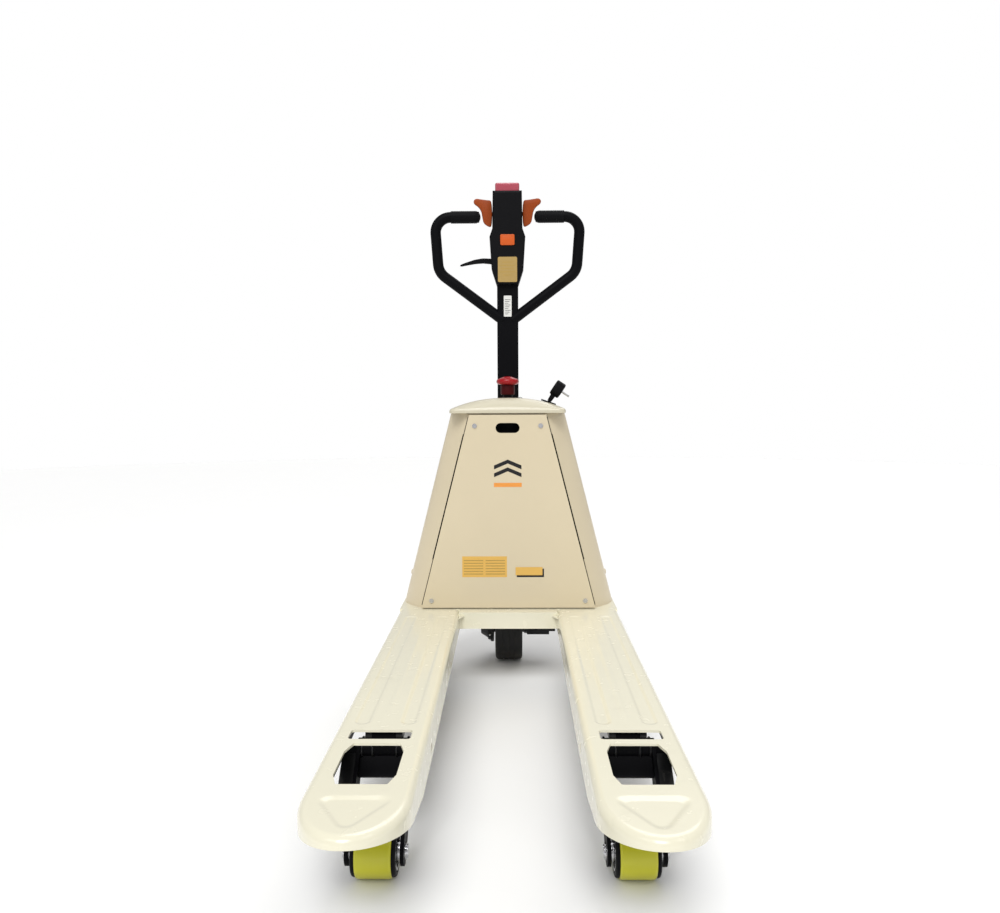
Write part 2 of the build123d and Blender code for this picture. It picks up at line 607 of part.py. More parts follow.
def rear_cover():
    """The sheet that closes the box behind, stepped forward over the drive wheel."""
    sheet = REAR_COVER_SHEET
    whole = (-FORK_SPREAD, FORK_SPREAD)
    body = slab(whole, (REAR_COVER_Y, REAR_COVER_Y + sheet), (SHELF_Z, BOX_TOP - GUIDE))
    body += slab(whole, (BASE_Y - sheet, REAR_COVER_Y + sheet), (SHELF_Z, SHELF_Z + sheet))
    body += slab(whole, (BASE_Y - sheet, BASE_Y), (FORK_TOP, SHELF_Z))
    arm_top = ROCKER_Z + (BASE_Y - ROCKER_Y) * tan(HALF_SWING) + YOKE_PIN_BOSS / cos(HALF_SWING)
    for side in SIDES.values():
        body -= slab(arm_slot(side), (BASE_Y - 2 * sheet, BASE_Y + 1), (FORK_TOP - 1, arm_top + 3))
    return body & box_form(BOX_SHEET + FIT)


# ---- battery, charger and controller -------------------------------------------------------------
def battery_pack():
    """The battery on the base plate, with a raised lid and its two terminals' block."""
    x, y, height = BATTERY
    body = slab(x, y, (FORK_TOP, FORK_TOP + height - 14))
    body += slab((x[0] + 6, x[1] - 6), (y[0] + 4, y[1] - 4), (FORK_TOP + height - 14, FORK_TOP + height))
    return fillet(body.edges().filter_by(Axis.Z), 4)


def finned_case(x, depth, z):
    """A cast case on the rear cover's inner face, with cooling fins on its front."""
    back = REAR_COVER_Y
    body = slab(x, (back - depth + FIN_HEIGHT, back), z)
    pitch = (x[1] - x[0]) / FIN_COUNT
    for index in range(FIN_COUNT):
        left = x[0] + pitch * (index + 0.25)
        body += slab((left, left + pitch / 2), (back - depth, back - depth + FIN_HEIGHT), z)
    return body


# ---- stop switch, key and parked plug ------------------------------------------------------------
def stop_switch():
    """The stop switch's fixed body: the neck above the cover and its contact block below."""
    neck = bar((0, STOP_Y, COVER_TOP - 1.2), (0, STOP_Y, STOP_LEVELS[0] - 2), STOP_NECK_R)
    barrel = bar((0, STOP_Y, COVER_TOP - 30), (0, STOP_Y, COVER_TOP), STOP_NECK_R - 2)
    block = slab((-14, 14), (STOP_Y - 14, STOP_Y + 14), (COVER_TOP - 60, COVER_TOP - 30))
    inner = bar((0, STOP_Y, COVER_TOP - 34), (0, STOP_Y, STOP_LEVELS[0]), STOP_NECK_R - 6 + FIT)
    return neck + barrel + block - inner


def stop_knob():
    """The red mushroom: a stepped stem under a domed disc, on a spindle."""
    low, shoulder, top = STOP_LEVELS
    travel = STOP_TRAVEL
    body = bar((0, STOP_Y, low + travel), (0, STOP_Y, shoulder), STOP_STEM_R)
    body += bar((0, STOP_Y, shoulder), (0, STOP_Y, top), STOP_DISC_R)
    body = fillet(body.edges().group_by(Axis.Z)[-1], 8)
    body += bar((0, STOP_Y, low - 1), (0, STOP_Y, low + travel + 1), STOP_STEM_R)
    body -= bar((0, STOP_Y, low - 2), (0, STOP_Y, low + travel), STOP_NECK_R + 1)
    return body + bar((0, STOP_Y, COVER_TOP - 20), (0, STOP_Y, low + travel + 1), STOP_NECK_R - 6)


def key_barrel():
    """The key switch's barrel, with its collar let into the cover."""
    body = bar((*KEY_PLACE, KEY_BASE - KEY_BARREL_LENGTH), (*KEY_PLACE, KEY_BASE), KEY_BARREL_R)
    body += bar((*KEY_PLACE, KEY_BASE - KEY_COLLAR), (*KEY_PLACE, KEY_BASE), KEY_BARREL_R + KEY_COLLAR)
    keyway = hypot(*KEY_BLADE) / 2 + GAP
    return body - bar((*KEY_PLACE, KEY_BASE - KEY_BARREL_LENGTH + 4), (*KEY_PLACE, KEY_BASE + 1), keyway)


def ignition_key():
    """The key: a flat blade in the barrel and a round bow above it."""
    x, y = KEY_PLACE
    wide, thick = KEY_BLADE
    bow_z = KEY_BASE + KEY_BOW_R + 1
    blade = slab((x - wide / 2, x + wide / 2), (y - thick / 2, y + thick / 2), (KEY_BASE - 14, KEY_BASE + 4))
    bow = along(Pos(x, bow_z) * Circle(KEY_BOW_R), (y - thick * 0.8, y + thick * 0.8))
    return blade + bow - along(Pos(x, bow_z + KEY_BOW_R / 2) * Circle(2), (y - thick, y + thick))


def charger_lead():
    """The charger's lead inside the box, from the charger up to the parked plug's stalk."""
    foot = (CHARGER[0][1] - 18, LEAD_Y, CHARGER[2][1])
    bend = (foot[0], LEAD_Y, LEAD_EXIT[1] - 90)
    path = FilletPolyline(foot, bend, lead_point(-32), lead_point(LEAD_GRIP), radius=(45, 30))
    return sweep(Plane(origin=foot, z_dir=(0, 0, 1)) * Circle(LEAD_R), path=path)


def plug_grommet():
    """The rubber plate on the cover that the lead's stalk stands in."""
    plate = grommet_plate(0)
    plate = fillet(plate.edges().group_by(SortBy.LENGTH)[0], 3)
    sleeve = bar(lead_point(-8), lead_point(GROMMET_RISE), LEAD_R + 4)
    return plate + sleeve - bar(lead_point(-20), lead_point(12), LEAD_R + FIT)


def plug_frame():
    """A plane at the parked plug's centre, whose Z axis is the way the pins point."""
    lean = radians(STALK_LEAN)
    centre = lead_point(STALK_LENGTH)
    return Plane(origin=centre, x_dir=(sin(lean), 0, cos(lean)), z_dir=(cos(lean), 0, -sin(lean)))


def plug_body():
    """The moulded right-angle plug with its tapered stalk."""
    frame = plug_frame()
    head = extrude(frame.offset(-PLUG_DEPTH * 0.45) * Circle(PLUG_R), PLUG_DEPTH)
    head = fillet(head.edges(), 3.5)
    foot = lead_point(GROMMET_RISE + GROMMET[2])
    stalk = bar(foot, lead_point(STALK_LENGTH - 4), LEAD_R + 1.5, LEAD_R + 4)
    return head + stalk - bar(lead_point(0), lead_point(LEAD_GRIP + 1), LEAD_R + FIT)


def plug_pins():
    """The plug's two round pins."""
    face = plug_frame().offset(PLUG_DEPTH * 0.55)
    spots = (Pos(0, side * PLUG_PIN_PITCH / 2) for side in SIDES.values())
    return [extrude(face * spot * Circle(PLUG_PIN_R), PLUG_PIN_LENGTH) for spot in spots]


# ---- drive unit ----------------------------------------------------------------------------------
def drive_tyre():
    """The drive wheel's tread."""
    half = DRIVE_WIDTH / 2
    body = bar_x((-half, half), STEER_Y, DRIVE_R, DRIVE_R)
    body = fillet(body.edges().filter_by(GeomType.CIRCLE), ROLLER_EDGE)
    return body - bar_x((-half, half), STEER_Y, DRIVE_R, DRIVE_RIM_R)


def drive_rim():
    """The drive wheel's rim, web and hub."""
    half = DRIVE_WIDTH / 2
    body = bar_x((-half, half), STEER_Y, DRIVE_R, DRIVE_RIM_R)
    body -= bar_x((-half, half), STEER_Y, DRIVE_R, DRIVE_RIM_R - 8)
    body += bar_x((-6, 6), STEER_Y, DRIVE_R, DRIVE_RIM_R - 4)
    reach = BRACKET_X - GAP
    body += bar_x((-reach, reach), STEER_Y, DRIVE_R, DRIVE_AXLE_R + 15)
    return body - bar_x((-FORK_SPREAD, FORK_SPREAD), STEER_Y, DRIVE_R, DRIVE_AXLE_R + FIT)


def drive_axle():
    """The fixed axle through both bracket plates."""
    reach = BRACKET_X + BRACKET_PLATE
    return bar_x((-reach, reach), STEER_Y, DRIVE_R, DRIVE_AXLE_R)


def wheel_bracket():
    """The steering fork over the drive wheel: a round top plate and two side plates."""
    low, high = BRACKET_TOP
    body = bar((0, STEER_Y, low), (0, STEER_Y, high), BRACKET_DISC_R)
    for side, radius in ((-1, MOTOR_STEPS[0][0]), (1, DRIVE_R - TORQUE_PLATES[1][1])):
        limits = sorted((side * BRACKET_X, side * (BRACKET_X + BRACKET_PLATE)))
        body += across(Pos(STEER_Y, DRIVE_R) * Circle(radius), limits)
        half = min(BRACKET_HALF_Y, radius)
        body += slab(limits, (STEER_Y - half, STEER_Y + half), (DRIVE_R, high))
    return body - bar_x((-FORK_SPREAD, FORK_SPREAD), STEER_Y, DRIVE_R, DRIVE_AXLE_R + FIT)


def drive_motor():
    """The hub motor's housing on the left plate: two steps and a domed end."""
    start = -(BRACKET_X + BRACKET_PLATE)
    radius, length = MOTOR_STEPS[1]
    body = bar_x((start - length, start), STEER_Y, DRIVE_R, radius)
    wide, narrow, cone = MOTOR_CONE
    body += bar((start - length, STEER_Y, DRIVE_R), (start - length - cone, STEER_Y, DRIVE_R), wide, narrow)
    cap = start - length - cone
    return body + bar_x((cap - 5, cap), STEER_Y, DRIVE_R, narrow / 2)


def brake_housing():
    """The parking brake on the right plate, with its two torque plates."""
    start = BRACKET_X + BRACKET_PLATE
    body = bar_x((start, start + BRAKE_LENGTH), STEER_Y, DRIVE_R, BRAKE_R)
    for reach, low, high in TORQUE_PLATES:
        body += slab((start, reach), (STEER_Y - TORQUE_HALF_Y, STEER_Y + TORQUE_HALF_Y), (low, high))
    return body


def unit_bolts():
    """Six bolts that hold the motor's flange to the left plate."""
    start = -(BRACKET_X + BRACKET_PLATE)
    count, circle = 6, (MOTOR_STEPS[0][0] + MOTOR_STEPS[1][0]) / 2 - 0.5
    bolts = []
    for index in range(count):
        turn = radians(360 / count * index + 30)
        place = (STEER_Y + circle * cos(turn), DRIVE_R + circle * sin(turn))
        bolts.append(bar_x((start - 5, start), *place, 2.4))
    return bolts


def steer_bearing():
    """The thrust bearing between the wheel bracket and the base yoke."""
    low = BRACKET_TOP[1]
    inner, outer = BEARING_R
    body = bar((0, STEER_Y, low), (0, STEER_Y, low + BEARING_HEIGHT - GAP), outer)
    return body - bar((0, STEER_Y, low), (0, STEER_Y, low + BEARING_HEIGHT), inner)


def base_yoke():
    """The yoke that carries the lift linkage: a ring round the pump's foot and two cheeks."""
    y = tuple(STEER_Y + reach for reach in YOKE_CHEEK_Y)
    body = upright(Pos(0, STEER_Y) * Circle(YOKE_RING_R), YOKE_Z)
    body += slab((-YOKE_CHEEK_X[1], YOKE_CHEEK_X[1]), y, YOKE_Z)
    for side in SIDES.values():
        limits = sorted(side * x for x in YOKE_CHEEK_X)
        body += slab(limits, y, (YOKE_PIN[1], YOKE_Z[1]))
        body += across(Pos(*YOKE_PIN) * Circle(YOKE_PIN_BOSS), limits)
    body -= bar((0, STEER_Y, YOKE_Z[0] - 1), (0, STEER_Y, YOKE_Z[1] + 1), SPIGOT_R + FIT)
    return body - bar_x((-FORK_SPREAD, FORK_SPREAD), *YOKE_PIN, YOKE_PIN_R + FIT)


def yoke_pins():
    """The two pins on the base yoke that the rocker's arms bear on."""
    pins = []
    for side in SIDES.values():
        limits = sorted((side * YOKE_CHEEK_X[0], side * (ROCKER_ARM_X[1] + 4)))
        pins.append(bar_x(limits, *YOKE_PIN, YOKE_PIN_R))
    return pins


# ---- pump, cylinder and piston -------------------------------------------------------------------
def pump_body():
    """The pump block: foot, flange, oil tank, plunger boss and the handle's clevis."""
    axis = Pos(0, STEER_Y, 0)
    body = bar((0, STEER_Y, BRACKET_TOP[1]), (0, STEER_Y, PUMP_Z), SPIGOT_R)
    body += bar((0, STEER_Y, PUMP_Z), (0, STEER_Y, PUMP_Z + PUMP_FLANGE), PUMP_FLANGE_R)
    tank = axis * slab((-PUMP_HALF, PUMP_HALF), (-PUMP_HALF, PUMP_HALF), (PUMP_Z, PUMP_TOP))
    body += fillet(tank.edges().filter_by(Axis.Z), 10)
    boss = PLUNGER_R + BOSS_WALL
    body += slab((-boss, boss), (STEER_Y + PUMP_HALF - BOSS_WALL, PLUNGER_Y), (PUMP_Z, PLUNGER_BOSS_TOP))
    body += bar((0, PLUNGER_Y, PUMP_Z), (0, PLUNGER_Y, PLUNGER_BOSS_TOP), boss)
    foot = (STEER_Y + PUMP_HALF - 10, PUMP_TOP - CLEVIS_R - 2)
    ear = link((HANDLE_Y, HINGE_Z), CLEVIS_R, foot, CLEVIS_R)
    for side in SIDES.values():
        body += across(ear, sorted(side * x for x in CLEVIS_X))
    body -= bar_x((-FORK_WIDTH, FORK_WIDTH), HANDLE_Y, HINGE_Z, HINGE_PIN_R + FIT)
    return body - bar((0, PLUNGER_Y, PUMP_Z + 2), (0, PLUNGER_Y, PLUNGER_BOSS_TOP + 1), PLUNGER_R + FIT)


def lift_cylinder():
    """The lift cylinder on the pump, bored for the piston, with a gland ring at its top."""
    body = bar((0, STEER_Y, PUMP_TOP), (0, STEER_Y, CYLINDER_TOP), CYLINDER_R)
    body = fillet(body.edges().group_by(Axis.Z)[-1], 4)
    return body - bar((0, STEER_Y, PUMP_TOP + 5), (0, STEER_Y, CYLINDER_TOP + 1), PISTON_R + FIT)


def piston_rod():
    """The lift piston, out by its whole stroke, with a rounded head under the head beam."""
    body = bar((0, STEER_Y, CYLINDER_TOP - PISTON_ENGAGED), (0, STEER_Y, PISTON_TOP), PISTON_R)
    return fillet(body.edges().group_by(Axis.Z)[-1], 6)


def pump_plunger():
    """The pump's plunger with the cap that the handle's roller presses."""
    top = ROLLER_AT[1] - PUMP_ROLLER_R - GAP
    body = bar((0, PLUNGER_Y, PLUNGER_BOSS_TOP - PLUNGER_BELOW), (0, PLUNGER_Y, top), PLUNGER_R)
    return fillet(body.edges().group_by(Axis.Z)[-1], 1.5)


def valve_lever():
    """The lowering valve's lever on the side of the pump."""
    x = (PUMP_HALF + GAP, PUMP_HALF + 6)
    pivot = (STEER_Y + 10, VALVE_LEVER_Z)
    body = across(link(pivot, 8, (STEER_Y + 48, VALVE_LEVER_Z + 4), 5), x)
    return body


# ---- handle --------------------------------------------------------------------------------------
def handle_yoke():
    """The handle's foot: two side plates on the hinge pin, a cap under the tube."""
    half = TUBE_HALF[0]
    outer = half + 1 + YOKE_SIDE
    depth = (HANDLE_Y - TUBE_HALF[1], HANDLE_Y + TUBE_HALF[1])
    body = slab((-outer, outer), depth, (TUBE_FOOT - 8, TUBE_FOOT))
    pivot = (HANDLE_Y, HINGE_Z)
    for side in SIDES.values():
        limits = sorted((side * (half + 1), side * (half + 1 + YOKE_SIDE)))
        body += across(link(pivot, CLEVIS_R, ROLLER_AT, CLEVIS_R - 4), limits)
        body += slab(limits, depth, (HINGE_Z, TUBE_FOOT))
    body -= bar_x((-FORK_WIDTH, FORK_WIDTH), *pivot, HINGE_PIN_R + FIT)
    body -= bar((RELEASE_X, HANDLE_Y, TUBE_FOOT - 10), (RELEASE_X, HANDLE_Y, TUBE_FOOT + 1), RELEASE_R + GAP)
    return body - bar_x((-FORK_WIDTH, FORK_WIDTH), *ROLLER_AT, ROLLER_SPINDLE_R + FIT)


def hinge_pin():
    """The pin that the handle tilts on."""
    reach = TUBE_HALF[0] + 1 + YOKE_SIDE + 3
    return bar_x((-reach, reach), HANDLE_Y, HINGE_Z, HINGE_PIN_R)


def pump_roller():
    """The roller on its spindle that presses the pump's plunger."""
    reach = TUBE_HALF[0] + 1 + YOKE_SIDE
    half = CLEVIS_X[0] - 4
    spindle = bar_x((-reach, reach), *ROLLER_AT, ROLLER_SPINDLE_R)
    return spindle + bar_x((-half, half), *ROLLER_AT, PUMP_ROLLER_R)


def handle_tube():
    """The flat hollow tube of the handle."""
    wide, deep = TUBE_HALF
    outer = RectangleRounded(2 * wide, 2 * deep, 5)
    inner = RectangleRounded(2 * (wide - TUBE_WALL), 2 * (deep - TUBE_WALL), 2.5)
    return upright(Pos(0, HANDLE_Y) * (outer - inner), (TUBE_FOOT, TUBE_HEAD))


def loop_bar(side):
    """One bent bar of the handle's loop, from the tube's side round to the grip."""
    corners = [(side * x, HANDLE_Y, z) for x, z in LOOP_CORNERS]
    start = (side * (TUBE_HALF[0] - 12), HANDLE_Y, LOOP_START_Z)
    end = (side * LOOP_END_X, HANDLE_Y, LOOP_CORNERS[1][1])
    path = FilletPolyline(start, *corners, end, radius=LOOP_RADII)
    first = Vector(*corners[0]) - Vector(*start)
    body = sweep(Plane(origin=start, z_dir=first) * Circle(LOOP_R), path=path)
    wide = TUBE_HALF[0]
    return body - slab((-wide, wide), (HANDLE_Y - 60, HANDLE_Y + 60), (LOOP_START_Z - 60, TUBE_HEAD))


def grip_sleeve(side):
    """A rubber sleeve with a rounded closed end over one bar."""
    z = LOOP_CORNERS[1][1]
    end = LOOP_END_X - 4
    limits = sorted((side * end, side * (end + GRIP_LENGTH)))
    body = bar_x(limits, HANDLE_Y, z, GRIP_R)
    tip = body.edges().filter_by(GeomType.CIRCLE).sort_by(Axis.X)
    body = fillet(tip[0] if side > 0 else tip[-1], 8)
    return body - bar_x(sorted((side * LOOP_END_X, side * 250)), HANDLE_Y, z, LOOP_R + FIT)


def head_form(inset):
    """The tiller head's whole form, from its outline seen along the truck."""
    points = [(x - inset, z) for x, z in HEAD_OUTLINE]
    points[0] = (points[0][0], HEAD_OUTLINE[0][1] + inset)
    points[-1] = (points[-1][0], HEAD_OUTLINE[-1][1] - inset)
    body = along(make_face(Polyline(*mirrored(points), close=True)), (HEAD_Y[0] + inset, HEAD_Y[1] - inset))
    if inset:
        return body
    long_edges = [e for e in body.edges() if abs(e.center().Y - HANDLE_Y) > HEAD_DEPTH / 2 - 1]
    return fillet(long_edges, HEAD_EDGE)


def head_shell(front):
    """One half of the tiller head, split across its depth, with its openings."""
    body = head_form(0) - head_form(HEAD_WALL)
    if front:
        body &= slab((-100, 100), (HEAD_Y[0] - 1, HANDLE_Y), (1000, 1400))
        horn = Pos(0, HORN_Z) * RectangleRounded(HORN[0] + 2 * GAP, HORN[1] + 2 * GAP, 4)
        body -= along(horn, (HEAD_Y[0] - 1, HEAD_Y[0] + HEAD_WALL + 1))
    else:
        body &= slab((-100, 100), (HANDLE_Y, HEAD_Y[1] + 1), (1000, 1400))
    wide, deep = TUBE_HALF
    body -= slab((-wide - FIT, wide + FIT), (HANDLE_Y - deep - FIT, HANDLE_Y + deep + FIT), (1000, TUBE_HEAD))
    belly = RectangleRounded(2 * (BELLY_HALF[0] + GAP), 2 * (BELLY_HALF[1] + GAP), 6)
    body -= upright(Pos(0, HANDLE_Y) * belly, (HANDLE_TOP - HEAD_WALL - 1, HANDLE_TOP + 1))
    body -= bar_x((-100, 100), HANDLE_Y, WING_Z, WING_SHAFT_R + FIT)
    gate = slab((-60, -30), (HANDLE_Y - LEVER_THICK / 2 - GUIDE, HANDLE_Y + LEVER_THICK / 2 + GUIDE),
                (LEVER_PIVOT[1] - 14, LEVER_PIVOT[1] + 28))
    return body - gate


def head_frame():
    """The chassis inside the head: pillars from the tube to the shells, and the lever's pin."""
    x, z = LEVER_PIVOT
    wide, deep = TUBE_HALF
    rear = HEAD_Y[1] - HEAD_WALL
    body = slab((-24, 24), (HANDLE_Y + deep, rear), (TUBE_HEAD - 14, TUBE_HEAD + 40))
    body += slab((x - 8, -18), (HANDLE_Y + LEVER_THICK / 2 + GAP, HANDLE_Y + deep), (TUBE_HEAD, z + 8))
    body += slab((-24, 24), (HANDLE_Y + LEVER_THICK / 2 + GAP, rear), (TUBE_HEAD, z + 8))
    body += slab((-20, 20), (HANDLE_Y + 8, rear), (z + 8, HANDLE_TOP - 62))
    body += slab((-20, 20), (HANDLE_Y - 8, rear), (WING_Z - 12, WING_Z + 12))
    body += slab((-20, 20), (HANDLE_Y - 10, rear), (HORN_Z - 10, HORN_Z + 10))
    body -= bar_x((-100, 100), HANDLE_Y, WING_Z, WING_SHAFT_R + FIT)
    pin_y = (HANDLE_Y - LEVER_THICK / 2 - 2, HANDLE_Y + TUBE_HALF[1])
    return body + bar((x, pin_y[0], z), (x, pin_y[1], z), LEVER_PIN_R)


def finger_lever():
    """The curved finger lever that lowers the forks."""
    stops = list(zip(LEVER_CURVE, LEVER_WIDTHS))
    body = None
    for (a, width_a), (b, width_b) in zip(stops, stops[1:]):
        piece = along(link(a, width_a, b, width_b), (HANDLE_Y - LEVER_THICK / 2, HANDLE_Y + LEVER_THICK / 2))
        body = piece if body is None else body + piece
    x, z = LEVER_PIVOT
    return body - bar((x, HANDLE_Y - 20, z), (x, HANDLE_Y + 20, z), LEVER_PIN_R + FIT)


def butterfly():
    """Both thumb wings on the shaft through the head."""
    y = (HANDLE_Y - WING_THICK / 2, HANDLE_Y + WING_THICK / 2)
    wing_x = WING_OUTLINE[0][0] + GUIDE
    body = bar_x((-wing_x - 6, wing_x + 6), HANDLE_Y, WING_Z, WING_SHAFT_R)
    for side in SIDES.values():
        points = [(side * (x + GUIDE), z) for x, z in WING_OUTLINE]
        face = make_face(Polyline(*points, close=True))
        body += along(face, y)
    return body


def belly_button():
    """The red reversing button across the head's top."""
    face = RectangleRounded(2 * BELLY_HALF[0], 2 * BELLY_HALF[1], 6)
    low = HANDLE_TOP - HEAD_WALL - BELLY_TRAVEL
    body = upright(Pos(0, HANDLE_Y) * face, (low, HANDLE_TOP + BELLY_PROUD))
    body = fillet(body.edges().group_by(Axis.Z)[-1], 5)
    return body + slab((-10, 10), (HANDLE_Y + 8, HANDLE_Y + 20), (WING_Z + 24, low))


def horn_button():
    """The orange button on the head's face."""
    face = Pos(0, HORN_Z) * RectangleRounded(*HORN, 4)
    body = along(face, (HEAD_Y[0] - HORN_PROUD, HEAD_Y[0] + HEAD_WALL + 2))
    body = fillet(body.edges().group_by(Axis.Y)[0], 1.5)
    stem_y = (HEAD_Y[0] + HEAD_WALL + 2, HANDLE_Y - 10 - HORN_TRAVEL - GAP)
    return body + along(Pos(0, HORN_Z) * Rectangle(10, 10), stem_y)


def release_rod():
    """The rod in the tube that joins the finger lever to the lowering valve."""
    low = HINGE_Z + CLEVIS_R + 4
    high = LEVER_PIVOT[1] - LEVER_WIDTHS[0] - 6
    return bar((RELEASE_X, HANDLE_Y, low), (RELEASE_X, HANDLE_Y, high), RELEASE_R)


# ---- write every node ----------------------------------------------------------------------------
def main():
    os.makedirs("parts", exist_ok=True)
    for name, side in SIDES.items():
        export_node("fork_" + name, fork(side))
        export_node("load_arm_" + name, load_arm(side))
        export_node("roller_axle_" + name, roller_axle(side))
        export_node("roller_core_" + name, roller_core(side))
        export_node("roller_tyre_" + name, roller_tyre(side))
        export_node("push_rod_" + name, push_rod(side))
    export_node("arm_pivot_pins", *[arm_pivot_pin(side) for side in SIDES.values()])
    export_node("heel_crossmember", heel_crossmember())
    export_node("rocker_shaft", rocker_shaft())
    export_node("mast_box", mast_box())
    export_node("front_panel", front_panel())
    export_node("panel_screws", *panel_screws())
    export_node("top_cover", top_cover())
    export_node("rear_cover", rear_cover())
    export_node("battery_pack", battery_pack())
    export_node("motor_controller", finned_case(*CONTROLLER))
    export_node("battery_charger", finned_case(*CHARGER))
    export_node("stop_switch", stop_switch())
    export_node("stop_knob", stop_knob())
    export_node("key_barrel", key_barrel())
    export_node("ignition_key", ignition_key())
    export_node("charger_lead", charger_lead())
    export_node("plug_grommet", plug_grommet())
    export_node("plug_body", plug_body())
    export_node("plug_pins", *plug_pins())
    export_node("drive_tyre", drive_tyre())
    export_node("drive_rim", drive_rim())
    export_node("drive_axle", drive_axle())
    export_node("wheel_bracket", wheel_bracket())
    export_node("drive_motor", drive_motor())
    export_node("brake_housing", brake_housing())
    export_node("unit_bolts", *unit_bolts())
    export_node("steer_bearing", steer_bearing())
    export_node("base_yoke", base_yoke())
    export_node("yoke_pins", *yoke_pins())
    export_node("pump_body", pump_body())
    export_node("lift_cylinder", lift_cylinder())
    export_node("piston_rod", piston_rod())
    export_node("pump_plunger", pump_plunger())
    export_node("valve_lever", valve_lever())
    export_node("handle_yoke", handle_yoke())
    export_node("hinge_pin", hinge_pin())
    export_node("pump_roller", pump_roller())
    export_node("handle_tube", handle_tube())
    export_node("handle_loop", *[loop_bar(side) for side in SIDES.values()])
    export_node("grip_sleeves", *[grip_sleeve(side) for side in SIDES.values()])
    export_node("head_shell_front", head_shell(True))
    export_node("head_shell_rear", head_shell(False))
    export_node("head_frame", head_frame())
    export_node("finger_lever", finger_lever())
    export_node("butterfly", butterfly())
    export_node("belly_button", belly_button())
    export_node("horn_button", horn_button())
    export_node("release_rod", release_rod())


main()
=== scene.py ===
"""Semi-electric pallet truck: finishes, detailed pieces, floor, light and camera round the frame."""
import json
import logging
from dataclasses import dataclass
from enum import Enum
from math import cos, radians, sin

import bmesh
import bpy
import numpy as np
from mathutils import Matrix, Vector


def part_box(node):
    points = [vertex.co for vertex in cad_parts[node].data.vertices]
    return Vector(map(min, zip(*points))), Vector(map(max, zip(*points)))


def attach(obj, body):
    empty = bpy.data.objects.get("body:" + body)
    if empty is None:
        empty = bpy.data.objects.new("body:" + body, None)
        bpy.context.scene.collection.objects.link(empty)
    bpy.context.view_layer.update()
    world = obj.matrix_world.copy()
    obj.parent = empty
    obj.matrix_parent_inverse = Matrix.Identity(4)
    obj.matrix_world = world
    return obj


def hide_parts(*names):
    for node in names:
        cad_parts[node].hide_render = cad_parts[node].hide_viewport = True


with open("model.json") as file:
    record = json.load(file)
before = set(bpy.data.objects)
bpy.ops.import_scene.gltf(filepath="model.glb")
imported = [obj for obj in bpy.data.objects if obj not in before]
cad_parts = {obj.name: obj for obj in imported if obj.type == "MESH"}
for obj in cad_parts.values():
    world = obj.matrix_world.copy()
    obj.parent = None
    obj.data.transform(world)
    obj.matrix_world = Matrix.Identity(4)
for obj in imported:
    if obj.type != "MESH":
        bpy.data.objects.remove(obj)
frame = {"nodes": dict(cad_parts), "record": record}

LOG = logging.getLogger("pallet_truck")
Tree = bpy.types.NodeTree
Socket = bpy.types.NodeSocket
MM = 0.001
SMOOTH_ANGLE = radians(35)
BEVEL_SEGMENTS = 3
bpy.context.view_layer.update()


class Side(Enum):
    """The two sides of the truck, seen from the fork tips."""

    LEFT = -1
    RIGHT = 1

    @property
    def word(self) -> str:
        """The side's word in node names."""
        return self.name.lower()


